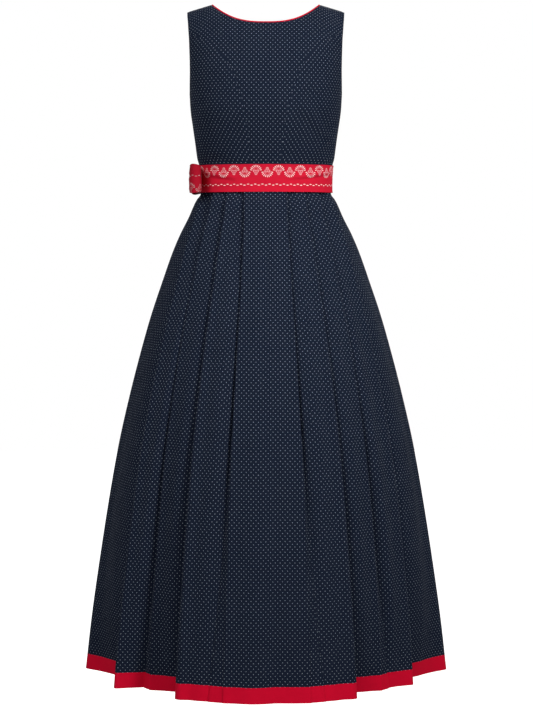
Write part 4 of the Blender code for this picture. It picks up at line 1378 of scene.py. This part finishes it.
def shaped_copy(node, name, material, bevel):
    """A part of the zip with its edges rounded over, left as the active object."""
    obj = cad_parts[node].copy()
    obj.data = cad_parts[node].data.copy()
    obj.name = obj.data.name = name
    bpy.context.scene.collection.objects.link(obj)
    bpy.ops.object.select_all(action="DESELECT")
    obj.select_set(True)
    bpy.context.view_layer.objects.active = obj
    bpy.ops.object.mode_set(mode="EDIT")
    bpy.ops.mesh.select_mode(type="EDGE")
    bpy.ops.mesh.select_all(action="SELECT")
    bpy.ops.mesh.remove_doubles(threshold=0.00001)
    bpy.ops.mesh.dissolve_limited(angle_limit=math.radians(4))
    bpy.ops.mesh.select_all(action="DESELECT")
    bpy.ops.mesh.edges_select_sharp(sharpness=math.radians(55))
    bpy.ops.mesh.bevel(offset=bevel, segments=2, profile=0.6, clamp_overlap=True)
    bpy.ops.mesh.select_all(action="SELECT")
    bpy.ops.mesh.normals_make_consistent(inside=False)
    bpy.ops.object.mode_set(mode="OBJECT")
    obj.data.materials.clear()
    obj.data.materials.append(material)
    return obj


def sink_broad_faces(obj, inset, depth):
    """Presses a panel into the two broadest faces."""
    faces = sorted(obj.data.polygons, key=lambda face: face.area)
    chosen = {face.index for face in faces[-2:]}
    for face in obj.data.polygons:
        face.select = face.index in chosen
    bpy.ops.object.mode_set(mode="EDIT")
    bpy.ops.mesh.select_mode(type="FACE")
    bpy.ops.mesh.inset(thickness=inset, depth=0.0, use_individual=True)
    bpy.ops.mesh.inset(thickness=0.00025, depth=-depth, use_individual=True)
    bpy.ops.object.mode_set(mode="OBJECT")


def make_zip(material):
    slider = shaped_copy("zip_slider", "slider_body", material, 0.00045)
    pull = shaped_copy("zip_pull", "pull_tab", material, 0.00022)
    sink_broad_faces(pull, 0.0009, 0.00028)
    for obj in (slider, pull):
        obj.data.shade_smooth()
        obj.data.set_sharp_from_angle(angle=math.radians(40))
    put(slider, "zip_metal", "zip_slider")
    put(pull, "zip_metal", "zip_pull", body="pull")


# Stage, light and camera


def make_stage(material):
    """A wide round floor of pale paper that casts no light of its own on the dress."""
    bpy.ops.mesh.primitive_circle_add(
        vertices=96, radius=FLOOR_RADIUS, fill_type="NGON", location=(0, 0, FLOOR)
    )
    floor = bpy.context.object
    floor.name = floor.data.name = "studio_floor"
    floor.data.materials.append(material)
    floor.visible_diffuse = False
    floor.visible_glossy = False


def add_light(name, place, aim, size, power):
    light = bpy.data.lights.new(name, "AREA")
    light.shape = "RECTANGLE"
    light.size, light.size_y = size
    light.energy = power
    light.spread = math.radians(LIGHT_SPREAD)
    obj = bpy.data.objects.new(name, light)
    obj.location = place
    way = np.array(aim) - np.array(place)
    flat = math.hypot(way[0], way[1])
    obj.rotation_euler = (math.atan2(flat, -way[2]), 0.0, math.atan2(-way[0], way[1]))
    obj.visible_camera = False
    bpy.context.scene.collection.objects.link(obj)


def light_studio():
    world = bpy.data.worlds.new("studio air")
    world.use_nodes = True
    nodes, links = world.node_tree.nodes, world.node_tree.links
    air = nodes["Background"]
    air.inputs["Color"].default_value = (1.0, 1.0, 1.0, 1.0)
    path = nodes.new("ShaderNodeLightPath")
    strength = nodes.new("ShaderNodeMapRange")
    strength.inputs["To Min"].default_value = AIR_LIGHT
    strength.inputs["To Max"].default_value = 1.0
    links.new(path.outputs["Is Camera Ray"], strength.inputs["Value"])
    links.new(strength.outputs["Result"], air.inputs["Strength"])
    bpy.context.scene.world = world
    add_light("right light", (2.00, -2.50, 1.30), (0.0, 0.0, -0.46), (0.5, 0.7), 12.6)
    add_light("left light", (-1.85, -2.75, 1.30), (0.0, 0.0, -0.46), (1.6, 0.9), 8.0)
    add_light("back light", (0.55, 3.40, 1.30), (0.0, 0.0, -0.30), (0.9, 0.9), 15.0)


def add_camera():
    camera = bpy.data.cameras.new("camera")
    camera.sensor_fit = "VERTICAL"
    camera.sensor_height = SENSOR_HEIGHT
    camera.lens = SENSOR_HEIGHT * CAMERA_FOCUS / PICTURE_ROWS
    camera.clip_end = 60.0
    obj = bpy.data.objects.new("camera", camera)
    obj.location = (CAMERA_ASIDE, -CAMERA_DISTANCE, CAMERA_HEIGHT)
    obj.rotation_euler = (math.radians(90.0 - CAMERA_TILT), 0.0, 0.0)
    bpy.context.scene.collection.objects.link(obj)
    bpy.context.scene.camera = obj


# The dress


def put(obj, slot, *nodes, body="dress"):
    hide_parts(*nodes)
    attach(obj, body)
    return obj


navy = dotted_navy_cotton()
red = red_cotton()
printed = printed_red_cotton()
# The knot and loops get a darker copy of the belt's print with painted shade: its colours scaled to 0.60 and
# its marks dimmed to 0.62
print_in_painted_shade = printed_red_cotton("printed red cotton, bow, painted shade", 0.60, 0.62)
navy_thread = plain_thread("navy thread", (0.018, 0.024, 0.042))
red_thread = plain_thread("red thread", (0.60, 0.006, 0.028))

front, armhole_front = make_bodice_front(navy)
put(front, "navy_cotton", "bodice_front")
armholes = list(armhole_front)
for word, side in (("left", 1), ("right", -1)):
    panel, lines = make_side_front("side_panel_" + word, side, navy)
    put(panel, "navy_cotton", "bodice_side_front_" + word)
    armholes += lines
    panel, lines = make_bodice_back("back_panel_" + word, side, navy)
    put(panel, "navy_cotton", "bodice_back_" + word)
    armholes += lines
stitch_rows("armhole_stitches", armholes, navy_thread)
put(make_piping(red), "red_cotton", "neck_piping")

skirt, hem_line = make_skirt(navy, red)
hem_stitches = stitch_rows("hem_stitches", [hem_line], red_thread)
skirt_widths = (("front", 1.784, 1.325), ("back_right", 0.620, 0.463), ("back_left", 0.622, 0.467))
for place, hem_width, area in skirt_widths:
    cloth, band = skirt["skirt_" + place], skirt["hem_band_" + place]
    put(cloth, "navy_cotton", "skirt_" + place)
    put(band, "red_cotton", "hem_band_" + place)

belt, belt_lines = make_belt(printed)
put(belt, "red_print", "belt")
belt_stitches = stitch_rows("belt_stitches", belt_lines, red_thread)
knot = put(make_bow_knot(print_in_painted_shade), "red_print", "bow_knot")
for word, way, share, length in (("front", -1, 1.0, 0.1535), ("back", 1, BACK_LOOP_SHARE, 0.1450)):
    loop = put(make_bow_loop("loop_band_" + word, way, share, print_in_painted_shade), "red_print", "bow_loop_" + word)
make_zip(dark_zip_metal())

make_stage(studio_paper())
light_studio()
add_camera()
bpy.context.scene.view_settings.view_transform = "Standard"
